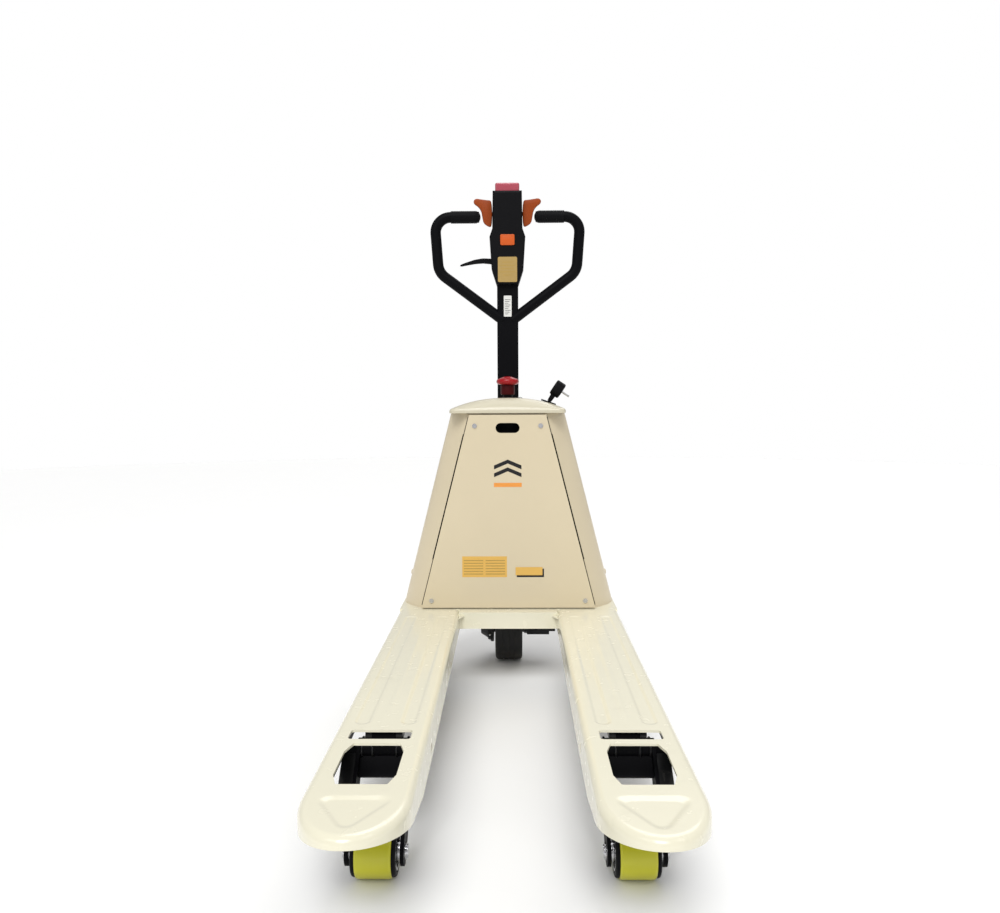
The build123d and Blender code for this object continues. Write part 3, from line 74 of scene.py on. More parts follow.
# ---- finishes ------------------------------------------------------------------------------------
@dataclass(frozen=True)
class Finish:
    """A procedural surface: base colour with drift, fine grain, scuffs and a clear coat.

    Every pattern reads Object coordinates, so it stays with its piece.
    """

    name: str
    colour: tuple[float, float, float]
    rough: float = 0.45
    metallic: float = 0.0
    coat: float = 0.0
    specular: float = 0.5
    drift: float = 0.06
    drift_scale: float = 6.0
    grain_scale: float = 900.0
    grain_bump: float = 0.04
    scuff: float = 0.0
    scuff_colour: tuple[float, float, float] = (0.3, 0.29, 0.27)
    scuff_scale: float = 40.0
    grime: float = 0.0
    grime_top: float = 0.25
    grime_colour: tuple[float, float, float] = (0.16, 0.14, 0.11)
    coat_rough: float = 0.12
    rough_below: float = 0.07
    rough_above: float = 0.09
    bump_depth: float = 1 * MM

    def build(self) -> bpy.types.Material:
        """Make the material's nodes.

        Returns:
            The finished material.
        """
        mat = bpy.data.materials.new(self.name)
        mat.use_nodes = True
        tree = mat.node_tree
        tree.nodes.clear()
        out = tree.nodes.new("ShaderNodeOutputMaterial")
        shader = tree.nodes.new("ShaderNodeBsdfPrincipled")
        tree.links.new(shader.outputs[0], out.inputs[0])
        shader.inputs["Metallic"].default_value = self.metallic
        shader.inputs["Coat Weight"].default_value = self.coat
        shader.inputs["Coat Roughness"].default_value = self.coat_rough
        shader.inputs["Specular IOR Level"].default_value = self.specular
        coords = tree.nodes.new("ShaderNodeTexCoord").outputs["Object"]
        drift = self._noise(tree, coords, self.drift_scale, 4.0)
        dark = tuple(channel * (1.0 - self.drift) for channel in self.colour)
        light = tuple(min(1.0, channel * (1.0 + self.drift)) for channel in self.colour)
        colour = self._mix(tree, drift, dark, light)
        if self.scuff:
            mask = self._ramp(tree, self._noise(tree, coords, self.scuff_scale, 8.0, 2.5), 0.60, 0.72)
            colour = self._mix(tree, self._scaled(tree, mask, self.scuff), colour, self.scuff_colour)
        if self.grime:
            colour = self._mix(tree, self._height_mask(tree, coords), colour, self.grime_colour)
        tree.links.new(colour, shader.inputs["Base Color"])
        rough = self._noise(tree, coords, self.drift_scale * 7.0, 6.0)
        spread = tree.nodes.new("ShaderNodeMapRange")
        spread.inputs["To Min"].default_value = max(0.02, self.rough - self.rough_below)
        spread.inputs["To Max"].default_value = min(1.0, self.rough + self.rough_above)
        tree.links.new(rough, spread.inputs["Value"])
        tree.links.new(spread.outputs[0], shader.inputs["Roughness"])
        self._bump(tree, coords, shader)
        return mat

    def _noise(self, tree: Tree, coords: Socket, scale: float, detail: float, warp: float = 0.0) -> Socket:
        """A noise value between 0 and 1 at a scale per metre."""
        node = tree.nodes.new("ShaderNodeTexNoise")
        node.inputs["Scale"].default_value = scale
        node.inputs["Detail"].default_value = detail
        node.inputs["Distortion"].default_value = warp
        tree.links.new(coords, node.inputs["Vector"])
        return node.outputs["Fac"]

    def _ramp(self, tree: Tree, value: Socket, low: float, high: float) -> Socket:
        """A smooth step of a value between two thresholds."""
        node = tree.nodes.new("ShaderNodeMapRange")
        node.interpolation_type = "SMOOTHSTEP"
        node.inputs["From Min"].default_value = low
        node.inputs["From Max"].default_value = high
        tree.links.new(value, node.inputs["Value"])
        return node.outputs[0]

    def _scaled(self, tree: Tree, value: Socket, amount: float) -> Socket:
        """A value times a constant."""
        node = tree.nodes.new("ShaderNodeMath")
        node.operation = "MULTIPLY"
        node.inputs[1].default_value = amount
        tree.links.new(value, node.inputs[0])
        return node.outputs[0]

    def _mix(self, tree: Tree, factor: Socket, first: Socket | tuple, second: Socket | tuple) -> Socket:
        """Blend two colours, each a socket or a constant."""
        node = tree.nodes.new("ShaderNodeMix")
        node.data_type = "RGBA"
        tree.links.new(factor, node.inputs["Factor"])
        for socket, value in ((node.inputs[6], first), (node.inputs[7], second)):
            if isinstance(value, tuple):
                socket.default_value = (*value, 1.0)
            else:
                tree.links.new(value, socket)
        return node.outputs[2]

    def _height_mask(self, tree: Tree, coords: Socket) -> Socket:
        """Grime that fades out upwards from the floor, broken by noise."""
        split = tree.nodes.new("ShaderNodeSeparateXYZ")
        tree.links.new(coords, split.inputs[0])
        fade = tree.nodes.new("ShaderNodeMapRange")
        fade.inputs["From Min"].default_value = 0.0
        fade.inputs["From Max"].default_value = self.grime_top
        fade.inputs["To Min"].default_value = self.grime
        fade.inputs["To Max"].default_value = 0.0
        tree.links.new(split.outputs["Z"], fade.inputs["Value"])
        node = tree.nodes.new("ShaderNodeMath")
        node.operation = "MULTIPLY"
        tree.links.new(fade.outputs[0], node.inputs[0])
        tree.links.new(self._noise(tree, coords, 25.0, 6.0), node.inputs[1])
        return node.outputs[0]

    def _bump(self, tree: Tree, coords: Socket, shader: bpy.types.Node) -> None:
        """Fine grain on the shader's normal."""
        bump = tree.nodes.new("ShaderNodeBump")
        bump.inputs["Strength"].default_value = self.grain_bump
        bump.inputs["Distance"].default_value = self.bump_depth
        tree.links.new(self._noise(tree, coords, self.grain_scale, 3.0), bump.inputs["Height"])
        tree.links.new(bump.outputs[0], shader.inputs["Normal"])


FINISHES = {
    "ivory_enamel": Finish("ivory enamel", (0.80, 0.765, 0.60), 0.24, coat=0.45, drift=0.02,
                           grain_bump=0.0006, scuff=0.10, scuff_colour=(0.56, 0.53, 0.40),
                           scuff_scale=9.0),
    # painted shade: near-black olive standing for the shadow on the forks' cream inner faces
    "painted_shade_olive": Finish("dark underside", (0.018, 0.020, 0.017), 0.55, specular=0.3, drift=0.3,
                           grain_bump=0.1),
    "cream_powder": Finish("cream powder coat", (0.655, 0.565, 0.395), 0.38, coat=0.2, drift=0.03,
                           grain_scale=1400.0, grain_bump=0.06),
    "cream_plastic": Finish("cream moulding", (0.60, 0.555, 0.42), 0.32, coat=0.2, drift=0.02,
                            grain_bump=0.03),
    "black_paint": Finish("black paint", (0.004, 0.004, 0.005), 0.46, specular=0.05, drift=0.2,
                          grain_bump=0.08),
    "black_steel": Finish("black steel", (0.010, 0.010, 0.011), 0.38, specular=0.35, drift=0.3,
                          grain_bump=0.1, scuff=0.5, scuff_colour=(0.07, 0.066, 0.06)),
    "bright_steel": Finish("bright steel", (0.62, 0.62, 0.64), 0.24, metallic=1.0, drift=0.08,
                           grain_bump=0.05),
    "chrome_rod": Finish("hard chrome", (0.82, 0.82, 0.84), 0.08, metallic=1.0, drift=0.02,
                         grain_bump=0.01),
    "cast_metal": Finish("painted casting", (0.010, 0.010, 0.011), 0.5, specular=0.3, drift=0.25,
                         grain_scale=350.0, grain_bump=0.25, scuff=0.3,
                         scuff_colour=(0.06, 0.056, 0.05)),
    "alloy": Finish("cast alloy", (0.42, 0.43, 0.45), 0.42, metallic=0.9, grain_scale=500.0,
                    grain_bump=0.2),
    "yellow_tread": Finish("yellow polyurethane", (0.62, 0.60, 0.022), 0.34, coat=0.15, drift=0.07,
                           grain_bump=0.05, grime=0.5, grime_top=0.03),
    "black_tread": Finish("black tread", (0.010, 0.010, 0.010), 0.6, specular=0.3, drift=0.2,
                          grain_scale=300.0, grain_bump=0.3, grime=0.4, grime_top=0.05),
    "black_rubber": Finish("black rubber", (0.005, 0.005, 0.006), 0.50, specular=0.06, drift=0.15,
                           grain_scale=700.0, grain_bump=0.2),
    "black_plastic": Finish("black moulding", (0.005, 0.005, 0.006), 0.42, specular=0.08, drift=0.12,
                            grain_scale=1600.0, grain_bump=0.18),
    "red_plastic": Finish("red moulding", (0.34, 0.002, 0.006), 0.26, coat=0.15, specular=0.3,
                          drift=0.06, grain_bump=0.02),
    # painted shade: the knob's red made darker for the stem, which lies in the disc's shadow
    "painted_shade_red": Finish("maroon moulding", (0.055, 0.001, 0.002), 0.36, specular=0.15, drift=0.1,
                             grain_bump=0.03),
    "rose_plastic": Finish("rose moulding", (0.40, 0.055, 0.085), 0.30, coat=0.3, drift=0.06,
                           grain_bump=0.02),
    "orange_plastic": Finish("orange moulding", (0.60, 0.10, 0.014), 0.34, specular=0.3, drift=0.08,
                             grain_bump=0.04),
    "rust_plastic": Finish("burnt orange moulding", (0.32, 0.055, 0.007), 0.38, specular=0.2, drift=0.1,
                           grain_bump=0.05),
    "battery_plastic": Finish("battery case", (0.02, 0.02, 0.022), 0.5, drift=0.1, grain_bump=0.2),
    "label_yellow": Finish("yellow film", (0.72, 0.43, 0.085), 0.35, coat=0.3, drift=0.03,
                           grain_bump=0.02),
    "label_tan": Finish("tan film", (0.42, 0.28, 0.085), 0.35, coat=0.3, drift=0.05, grain_bump=0.02),
    "label_white": Finish("white film", (0.75, 0.75, 0.72), 0.35, coat=0.3, drift=0.03,
                          grain_bump=0.02),
    "ink": Finish("printing ink", (0.012, 0.012, 0.014), 0.4, specular=0.3, drift=0.1, grain_bump=0.02),
    "ink_faint": Finish("faint printing", (0.42, 0.27, 0.06), 0.4, drift=0.1, grain_bump=0.02),
    "mark_orange": Finish("orange film", (0.80, 0.30, 0.045), 0.35, coat=0.2, drift=0.03,
                          grain_bump=0.02),
    # painted shade: near-black for the gaps beside the front panel and the hollow behind its finger hole
    "painted_shade_black": Finish("dark lining", (0.004, 0.004, 0.004), 0.8, specular=0.1, drift=0.2,
                     grain_bump=0.2),
    "floor_pale": Finish("pale floor", (0.95, 0.95, 0.945), 0.65, specular=0.2, drift=0.01,
                         grain_bump=0.02),
}
MATERIALS: dict[str, bpy.types.Material] = {}


def finish(name: str) -> bpy.types.Material:
    """The material of a named finish, made once."""
    if name not in MATERIALS:
        MATERIALS[name] = FINISHES[name].build()
    return MATERIALS[name]


# ---- mesh helpers --------------------------------------------------------------------------------
def grid_faces(rows: int, columns: int, closed: bool) -> np.ndarray:
    """Quads of a grid of rows by columns, whose columns join up where closed."""
    wrap = columns if closed else columns - 1
    row, column = np.meshgrid(np.arange(rows - 1), np.arange(wrap), indexing="ij")
    after = (column + 1) % columns
    here, there = row * columns, (row + 1) * columns
    corners = (here + column, here + after, there + after, there + column)
    return np.stack([corner.ravel() for corner in corners], axis=1)


def new_piece(name: str, verts: np.ndarray, faces: list, surface: str) -> bpy.types.Object:
    """Make an object at the origin from points in metres.

    Args:
        name: The piece's name.
        verts: Points, one row each.
        faces: Lists of point numbers.
        surface: The finish's name.

    Returns:
        The object, in the scene.
    """
    mesh = bpy.data.meshes.new(name)
    mesh.from_pydata(verts.tolist(), [], [list(map(int, face)) for face in faces])
    mesh.validate()
    mesh.materials.append(finish(surface))
    mesh.shade_smooth()
    mesh.set_sharp_from_angle(angle=SMOOTH_ANGLE)
    piece = bpy.data.objects.new(name, mesh)
    bpy.context.scene.collection.objects.link(piece)
    return piece


def tidy_normals(piece: bpy.types.Object, merge: float = 1e-6) -> None:
    """Merge doubled points and turn every face outwards."""
    work = bmesh.new()
    work.from_mesh(piece.data)
    bmesh.ops.remove_doubles(work, verts=work.verts, dist=merge)
    bmesh.ops.recalc_face_normals(work, faces=work.faces)
    work.to_mesh(piece.data)
    work.free()


def face_up(piece: bpy.types.Object) -> None:
    """Turn an open sheet so that its top faces up."""
    rise = sum(polygon.normal.z * polygon.area for polygon in piece.data.polygons)
    if rise < 0:
        piece.data.flip_normals()


def apply_modifiers(piece: bpy.types.Object) -> None:
    """Put the result of a piece's modifiers into its mesh."""
    graph = bpy.context.evaluated_depsgraph_get()
    done = bpy.data.meshes.new_from_object(piece.evaluated_get(graph))
    piece.modifiers.clear()
    piece.data = done
    piece.data.shade_smooth()
    piece.data.set_sharp_from_angle(angle=SMOOTH_ANGLE)


def thicken(piece: bpy.types.Object, wall: float, inner: str = "") -> None:
    """Give a sheet its wall, inwards from its outer face, with its own finish inside where one is named."""
    solid = piece.modifiers.new("wall", "SOLIDIFY")
    if inner:
        piece.data.materials.append(finish(inner))
        solid.material_offset = 1
    solid.thickness = wall
    solid.offset = -1.0
    solid.use_even_offset = True
    apply_modifiers(piece)


def cut(piece: bpy.types.Object, cutters: list[bpy.types.Object]) -> None:
    """Take the cutters' shapes out of a piece, and remove the cutters."""
    for cutter in cutters:
        boolean = piece.modifiers.new("cut", "BOOLEAN")
        boolean.operation = "DIFFERENCE"
        boolean.solver = "EXACT"
        boolean.object = cutter
    apply_modifiers(piece)
    for cutter in cutters:
        bpy.data.objects.remove(cutter)


def lathe(name: str, profile: np.ndarray, centre: tuple, axis: str, surface: str,
          turns: int = 96) -> bpy.types.Object:
    """Turn a closed profile about an axis.

    A point (a, r) of the profile is at distance a along the axis and r from it; each is turned
    through a full circle in equal steps.

    Args:
        name: The piece's name.
        profile: Points (a, r) in metres.
        centre: A point on the axis.
        axis: X, Y or Z.
        surface: The finish's name.
        turns: Steps round the circle.

    Returns:
        The turned piece.
    """
    angle = np.linspace(0, 2 * np.pi, turns, endpoint=False)
    along = np.repeat(profile[:, 0], turns).reshape(-1, turns)
    first = profile[:, 1][:, None] * np.cos(angle)[None, :]
    second = profile[:, 1][:, None] * np.sin(angle)[None, :]
    order = {"X": (along, first, second), "Y": (first, along, second), "Z": (first, second, along)}[axis]
    verts = np.stack([layer.ravel() for layer in order], axis=1) + np.array(centre)
    piece = new_piece(name, verts, grid_faces(len(profile), turns, True), surface)
    tidy_normals(piece)
    return piece


def path_frames(path: np.ndarray, up: tuple) -> tuple[np.ndarray, np.ndarray]:
    """Two unit vectors square to a path at each point, from the cross product with a fixed up."""
    tangent = np.gradient(path, axis=0)
    tangent /= np.linalg.norm(tangent, axis=1)[:, None]
    side = np.cross(tangent, np.array(up, dtype=float))
    side /= np.linalg.norm(side, axis=1)[:, None]
    return side, np.cross(side, tangent)


def rounded_path(points: np.ndarray, radii: list[float], steps: int = 14) -> np.ndarray:
    """A path whose inner corners are arcs.

    Each corner is cut back along both runs by radius times the tangent of half the turn, and the
    arc between is the quadratic curve through the corner, weighted to stay round.
    """
    rounded = [points[0][None, :]]
    share = np.linspace(0, 1, steps)[:, None]
    for before, corner, after, radius in zip(points, points[1:], points[2:], radii):
        way_in, way_out = corner - before, after - corner
        way_in = way_in / np.linalg.norm(way_in)
        way_out = way_out / np.linalg.norm(way_out)
        turn = np.arccos(np.clip(way_in @ way_out, -1, 1))
        back = radius * np.tan(turn / 2)
        weight = np.cos(turn / 2)
        start, end = corner - way_in * back, corner + way_out * back
        top = (1 - share) ** 2 * start + 2 * weight * share * (1 - share) * corner + share ** 2 * end
        rounded.append(top / ((1 - share) ** 2 + 2 * weight * share * (1 - share) + share ** 2))
    rounded.append(points[-1][None, :])
    return np.concatenate(rounded)


def resample(path: np.ndarray, step: float) -> np.ndarray:
    """The same path with points at an even spacing near a step."""
    lengths = np.concatenate([[0], np.cumsum(np.linalg.norm(np.diff(path, axis=0), axis=1))])
    places = np.linspace(0, lengths[-1], max(2, int(lengths[-1] / step)))
    return np.stack([np.interp(places, lengths, path[:, axis]) for axis in range(3)], axis=1)


def swept_tube(name: str, path: np.ndarray, radii: np.ndarray, surface: str, sides: int = 32,
               flat: float = 1.0, up: tuple = (0, 1, 0)) -> bpy.types.Object:
    """Carry a circle along a path, with a radius at each point, and close both ends.

    Args:
        name: The piece's name.
        path: Points in metres.
        radii: The radius at each point.
        surface: The finish's name.
        sides: Points round the section.
        flat: The section's height over its width.
        up: The section's height direction.

    Returns:
        The swept piece.
    """
    side, height = path_frames(path, up)
    angle = np.linspace(0, 2 * np.pi, sides, endpoint=False)
    across = side[:, None, :] * (np.cos(angle)[None, :, None] * radii[:, None, None])
    upward = height[:, None, :] * (np.sin(angle)[None, :, None] * radii[:, None, None] * flat)
    verts = (path[:, None, :] + across + upward).reshape(-1, 3)
    rows = len(path)
    faces = grid_faces(rows, sides, True).tolist()
    faces += [list(range(sides))[::-1], list(range((rows - 1) * sides, rows * sides))]
    piece = new_piece(name, verts, faces, surface)
    tidy_normals(piece)
    return piece


def block(name: str, low: tuple, high: tuple, surface: str, edge: float = 0.0) -> bpy.types.Object:
    """A block with bevelled edges between two corners."""
    low, high = np.array(low, float), np.array(high, float)
    unit = np.array([[x, y, z] for x in (0, 1) for y in (0, 1) for z in (0, 1)], float)
    faces = [(0, 1, 3, 2), (4, 6, 7, 5), (0, 4, 5, 1), (2, 3, 7, 6), (0, 2, 6, 4), (1, 5, 7, 3)]
    piece = new_piece(name, low + unit * (high - low), faces, surface)
    tidy_normals(piece)
    if edge:
        bevel = piece.modifiers.new("edge", "BEVEL")
        bevel.width = edge
        bevel.segments = BEVEL_SEGMENTS
        apply_modifiers(piece)
    return piece


def plate(name: str, outline: np.ndarray, normal: str, place: tuple[float, float], surface: str,
          edge: float = 0.0) -> bpy.types.Object:
    """A flat plate from its outline, with bevelled rims.

    Args:
        name: The piece's name.
        outline: Corner points in the plate's plane: X and Z for normal Y, X and Y for normal Z.
        normal: Y or Z.
        place: The plate's two faces along the normal.
        surface: The finish's name.
        edge: The rims' bevel.

    Returns:
        The plate.
    """
    count = len(outline)
    layers = []
    for value in place:
        level = np.full(count, value)
        first, second = outline[:, 0], outline[:, 1]
        order = (first, level, second) if normal == "Y" else (first, second, level)
        layers.append(np.stack(order, axis=1))
    ring = np.arange(count)
    faces = [list(ring), list(ring[::-1] + count)]
    faces += [[a, b, b + count, a + count] for a, b in zip(ring, np.roll(ring, -1))]
    piece = new_piece(name, np.concatenate(layers), faces, surface)
    tidy_normals(piece)
    if edge:
        bevel = piece.modifiers.new("edge", "BEVEL")
        bevel.width = edge
        bevel.segments = BEVEL_SEGMENTS
        bevel.limit_method = "ANGLE"
        apply_modifiers(piece)
    return piece


def rounded_rectangle(width: float, height: float, radius: float, centre: tuple = (0.0, 0.0),
                      steps: int = 6) -> np.ndarray:
    """The outline of a rectangle with round corners: a quarter circle swept at each corner."""
    angle = np.linspace(0, np.pi / 2, steps)
    corners = []
    for quarter, (sx, sy) in enumerate(((1, 1), (-1, 1), (-1, -1), (1, -1))):
        turn = angle + quarter * np.pi / 2
        x = sx * (width / 2 - radius) + radius * np.cos(turn)
        y = sy * (height / 2 - radius) + radius * np.sin(turn)
        corners.append(np.stack([x, y], axis=1))
    return np.concatenate(corners) + np.array(centre)


def softened(outline: np.ndarray, rounds: int) -> np.ndarray:
    """An outline with its corners cut: each edge keeps the points at a quarter and three quarters."""
    for _ in range(rounds):
        after = np.roll(outline, -1, axis=0)
        pair = [0.75 * outline + 0.25 * after, 0.25 * outline + 0.75 * after]
        outline = np.stack(pair, axis=1).reshape(-1, 2)
    return outline


def smooth_step(value: np.ndarray, low: float, high: float) -> np.ndarray:
    """0 below low, 1 above high, and a smooth cubic between."""
    share = np.clip((value - low) / (high - low), 0, 1)
    return share * share * (3 - 2 * share)


# ---- forks ---------------------------------------------------------------------------------------
@dataclass
class Fork:
    """A pressed fork: rounded rims, two long embossed channels, nose emboss, window and slot."""

    side: Side
    nose: float = 120 * MM
    rim: float = 12 * MM
    wall: float = 4 * MM
    channel: tuple[float, float] = (39 * MM, 15 * MM)
    channel_span: tuple[float, float] = (-778 * MM, -70 * MM)
    channel_depth: float = 2.6 * MM
    window: tuple[float, float, float] = (46 * MM, -1000 * MM, -857 * MM)
    chamfer: tuple[float, float] = (9 * MM, 30 * MM)
    slot: tuple[float, float, float] = (50.5 * MM, 18.5 * MM, -821.5 * MM)
    emboss: tuple[float, float, float] = (64 * MM, -1142 * MM, -1033 * MM)
    emboss_corner: float = 27 * MM
    channel_edge: float = 7 * MM
    channel_fade: float = 0.55
    crown: tuple[float, float] = (0.8 * MM, 9 * MM)
    emboss_depth: float = 2.4 * MM
    emboss_edge: float = 11 * MM
    pin_bore: float = 8.05 * MM
    plan_steps: tuple[int, int] = (300, 90)
    rows: tuple[int, int, int] = (6, 9, 34)
    depths: tuple = ((0.0, 50 * MM), (-750 * MM, 64 * MM), (-905 * MM, 64 * MM), (-1150 * MM, 16 * MM))

    def build(self, heel: float) -> bpy.types.Object:
        """Make the skin and stand it for the CAD fork.

        Args:
            heel: The heel plane's Y.

        Returns:
            The fork's piece.
        """
        name = "fork_" + self.side.word
        low, high = (np.array(corner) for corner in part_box(name))
        centre = (low[0] + high[0]) / 2
        half, length, top = (high[0] - low[0]) / 2, high[1] - low[1], high[2]
        boundary, spine = self._plan(half, length)
        verts = self._surface(boundary, spine, top)
        rows = verts.shape[0]
        points = verts.reshape(-1, 3) + np.array([centre, heel, 0.0])
        piece = new_piece(name + "_skin", points, grid_faces(rows, verts.shape[1], False), "ivory_enamel")
        tidy_normals(piece, 2e-5)
        face_up(piece)
        # the inner faces get painted shade, near-black olive for the shadow under the fork's top
        thicken(piece, self.wall, "painted_shade_olive")
        cut(piece, self._cutters(centre, heel, top))
        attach(piece, "fork_frame")
        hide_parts(name)
        return piece

    def _plan(self, half: float, length: float) -> tuple[np.ndarray, np.ndarray]:
        """The outline from heel to heel round the nose, and the spine point each one runs to.

        Straight sides, then a half ellipse; the spine stops short of the nose by its own half
        width, so that rows stay square to the rim.
        """
        shoulder = -(length - self.nose)
        run = np.linspace(0, shoulder, self.plan_steps[0], endpoint=False)
        angle = np.linspace(np.pi, 2 * np.pi, self.plan_steps[1])
        left = np.stack([np.full_like(run, -half), run], axis=1)
        arc = np.stack([half * np.cos(angle), shoulder + self.nose * np.sin(angle)], axis=1)
        right = np.stack([np.full_like(run, half), run], axis=1)[::-1]
        boundary = np.concatenate([left, arc, right])
        spine_y = np.concatenate([run, shoulder + (self.nose - half) * np.sin(angle), run[::-1]])
        return boundary, np.stack([np.zeros_like(spine_y), spine_y], axis=1)

    def _surface(self, boundary: np.ndarray, spine: np.ndarray, top: float) -> np.ndarray:
        """Rows from the wall's foot, round the rim's quarter circle, to the spine."""
        reach = np.linalg.norm(spine - boundary, axis=1)
        inward = (spine - boundary) / reach[:, None]
        profile_y, profile_d = zip(*self.depths)
        depth = np.interp(-boundary[:, 1], [-y for y in profile_y], profile_d)
        wall_rows, rim_rows, top_rows = self.rows
        rows = []
        for share in np.linspace(0, 1, wall_rows, endpoint=False):
            z = top - depth + share * (depth - self.rim)
            rows.append(np.column_stack([boundary, z]))
        for angle in np.linspace(0, np.pi / 2, rim_rows):
            place = boundary + inward * self.rim * (1 - cos(angle))
            z = np.full(len(boundary), top - self.rim + self.rim * sin(angle))
            rows.append(np.column_stack([place, z]))
        for share in np.linspace(0, 1, top_rows)[1:]:
            place = boundary + inward * (self.rim + share * (reach - self.rim))[:, None]
            rows.append(np.column_stack([place, top - self._emboss(place)]))
        return np.stack(rows)

    def _emboss(self, place: np.ndarray) -> np.ndarray:
        """How far the top is pressed down: two long channels and the nose's rounded triangle.

        A channel is the distance to its centre line, less its half width, put through a smooth
        step. The triangle's inner distances to its three sides are joined as the root of the
        summed squares of what each lacks of the corner radius, which rounds its corners.
        """
        x, y = place[:, 0], place[:, 1]
        low, high = self.channel_span
        middle, half = self.channel
        along = np.maximum(np.maximum(low + half - y, y - high + half), 0)
        inside = half - np.hypot(np.abs(x) - middle, along)
        fade = 1 - self.channel_fade * smooth_step(y, low + 200 * MM, high)
        pressed = self.channel_depth * fade * smooth_step(inside, 0.0, self.channel_edge)
        rise, wide = self.crown
        crown = rise * smooth_step(wide - np.abs(x), 0.0, wide) * smooth_step(y, low, low + 60 * MM)
        wide, tip, back = self.emboss
        slope = wide / (back - tip)
        gaps = [((y - tip) * slope - turn * x) / np.hypot(1, slope) for turn in (-1, 1)] + [back - y]
        lacks = [np.maximum(self.emboss_corner - gap, 0) for gap in gaps]
        nose = self.emboss_corner - np.sqrt(sum(lack ** 2 for lack in lacks))
        return pressed - crown * fade + self.emboss_depth * smooth_step(nose, 0.0, self.emboss_edge)

    def _cutters(self, centre: float, heel: float, top: float) -> list[bpy.types.Object]:
        """Prisms through the top plate for the window and the slot."""
        half, low, high = self.window
        cut_x, cut_y = self.chamfer
        right = [(half - cut_x, low), (half, low + cut_y), (half, high - cut_y), (half - cut_x, high)]
        window = np.array(right + [(-x, y) for x, y in right[::-1]])
        slot = rounded_rectangle(2 * self.slot[0], 2 * self.slot[1], 6 * MM, (0.0, self.slot[2]))
        shift = np.array([centre, heel])
        place = (top - 3 * self.wall, top + self.wall)
        cutters = [plate("cutter", outline + shift, "Z", place, "ivory_enamel")
                   for outline in (window, slot)]
        reach = 100 * MM
        pin = np.array([(-reach, 0.0), (-reach, self.pin_bore), (reach, self.pin_bore), (reach, 0.0)])
        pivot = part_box("arm_pivot_pins")
        middle = (centre, (pivot[0][1] + pivot[1][1]) / 2, (pivot[0][2] + pivot[1][2]) / 2)
        return cutters + [lathe("cutter", pin, middle, "X", "ivory_enamel", 32)]


# ---- top cover -----------------------------------------------------------------------------------
@dataclass
class TopCover:
    """The moulded cover: a crowned top over a straight band, with soft corners."""

    crown: float = 2.3
    band: float = 10 * MM
    corner: float = 16 * MM
    lip: float = 5 * MM
    wall: float = 2.5 * MM
    front_fade: float = 52 * MM
    rear_fade: tuple[float, float, float] = (100 * MM, 88 * MM, 0.75)

    def build(self) -> bpy.types.Object:
        """Make the cover.

        Returns:
            The cover's piece.
        """
        low, high = (np.array(corner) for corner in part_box("top_cover"))
        size, centre = high - low, (high + low) / 2
        outline = rounded_rectangle(size[0], size[1], self.corner, (centre[0], centre[1]), 12)
        closed = np.column_stack([np.vstack([outline, outline[:1]]), np.zeros(len(outline) + 1)])
        dense = resample(closed, 3 * MM)[:-1, :2]
        rows = [np.column_stack([dense, np.full(len(dense), low[2] + share * (self.band - self.lip))])
                for share in np.linspace(0, 1, 4)]
        middle = centre[:2]
        for angle in np.linspace(0, np.pi / 2, 7)[1:]:
            shrink = 1 - self.lip * (1 - cos(angle)) / (size[0] / 2)
            place = middle + (dense - middle) * shrink
            base = low[2] + self.band - self.lip + self.lip * sin(angle)
            rows.append(np.column_stack([place, base + self._rise(place, low, high) * sin(angle)]))
        edge = 1 - self.lip / (size[0] / 2)
        for share in (1 - np.linspace(0, 1, 40)[1:] ** 0.8) * edge:
            place = middle + (dense - middle) * max(share, 0.004)
            rows.append(np.column_stack([place, low[2] + self.band + self._rise(place, low, high)]))
        verts = np.stack(rows)
        faces = grid_faces(len(rows), len(dense), True).tolist()
        faces.append(list(range((len(rows) - 1) * len(dense), len(rows) * len(dense))))
        piece = new_piece("cover_dome", verts.reshape(-1, 3), faces, "cream_plastic")
        tidy_normals(piece, 1e-7)
        face_up(piece)
        thicken(piece, self.wall)
        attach(piece, "fork_frame")
        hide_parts("top_cover")
        return piece

    def _rise(self, place: np.ndarray, low: np.ndarray, high: np.ndarray) -> np.ndarray:
        """The crown's height: one less the side share to a power, times the fore and aft fade.

        The fade rises over the first 52 mm as one less a cube, and falls by three quarters of a
        square over the rear half.
        """
        peak = high[2] - low[2] - self.band
        half = (high[0] - low[0]) / 2
        across = 1 - np.clip(np.abs(place[:, 0]) / half, 0, 1) ** self.crown
        start, run, drop = self.rear_fade
        front = np.clip((self.front_fade - (place[:, 1] - low[1])) / self.front_fade, 0, 1)
        rear = np.clip((place[:, 1] - low[1] - start) / run, 0, 1)
        return peak * across * (1 - front ** 3) * (1 - drop * rear ** 2)


# ---- wheels --------------------------------------------------------------------------------------
@dataclass
class Wheel:
    """A wheel's tread, turned from a profile with rounded shoulders."""

    node: str
    body: str
    surface: str
    bore: float
    shoulder: float = 8 * MM
    groove: float = 0.0
    inset: float = 0.0
    groove_waves: int = 5
    groove_level: float = 0.86

    def build(self) -> bpy.types.Object:
        """Turn the tread and stand it for its CAD node.

        Returns:
            The tread's piece.
        """
        low, high = (np.array(corner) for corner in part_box(self.node))
        centre, radius = (low + high) / 2, (high[2] - low[2]) / 2
        half = (high[0] - low[0]) / 2 - self.inset
        angle = np.linspace(0, np.pi / 2, 8)
        across = half - self.shoulder + self.shoulder * np.sin(angle)
        out = radius - self.shoulder + self.shoulder * np.cos(angle)
        flat = np.linspace(-(half - self.shoulder), half - self.shoulder, 41)[1:-1]
        dip = self.groove * (np.cos(flat / half * self.groove_waves * np.pi) > self.groove_level)
        right = np.column_stack([across, out])
        profile = np.concatenate([[[-half, self.bore]], right[::-1] * [-1, 1],
                                  np.column_stack([flat, radius - dip]), right, [[half, self.bore]]])
        profile = np.concatenate([profile, profile[:1]])
        piece = lathe(self.node + "_turned", profile, tuple(centre), "X", self.surface, 128)
        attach(piece, self.body)
        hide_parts(self.node)
        return piece


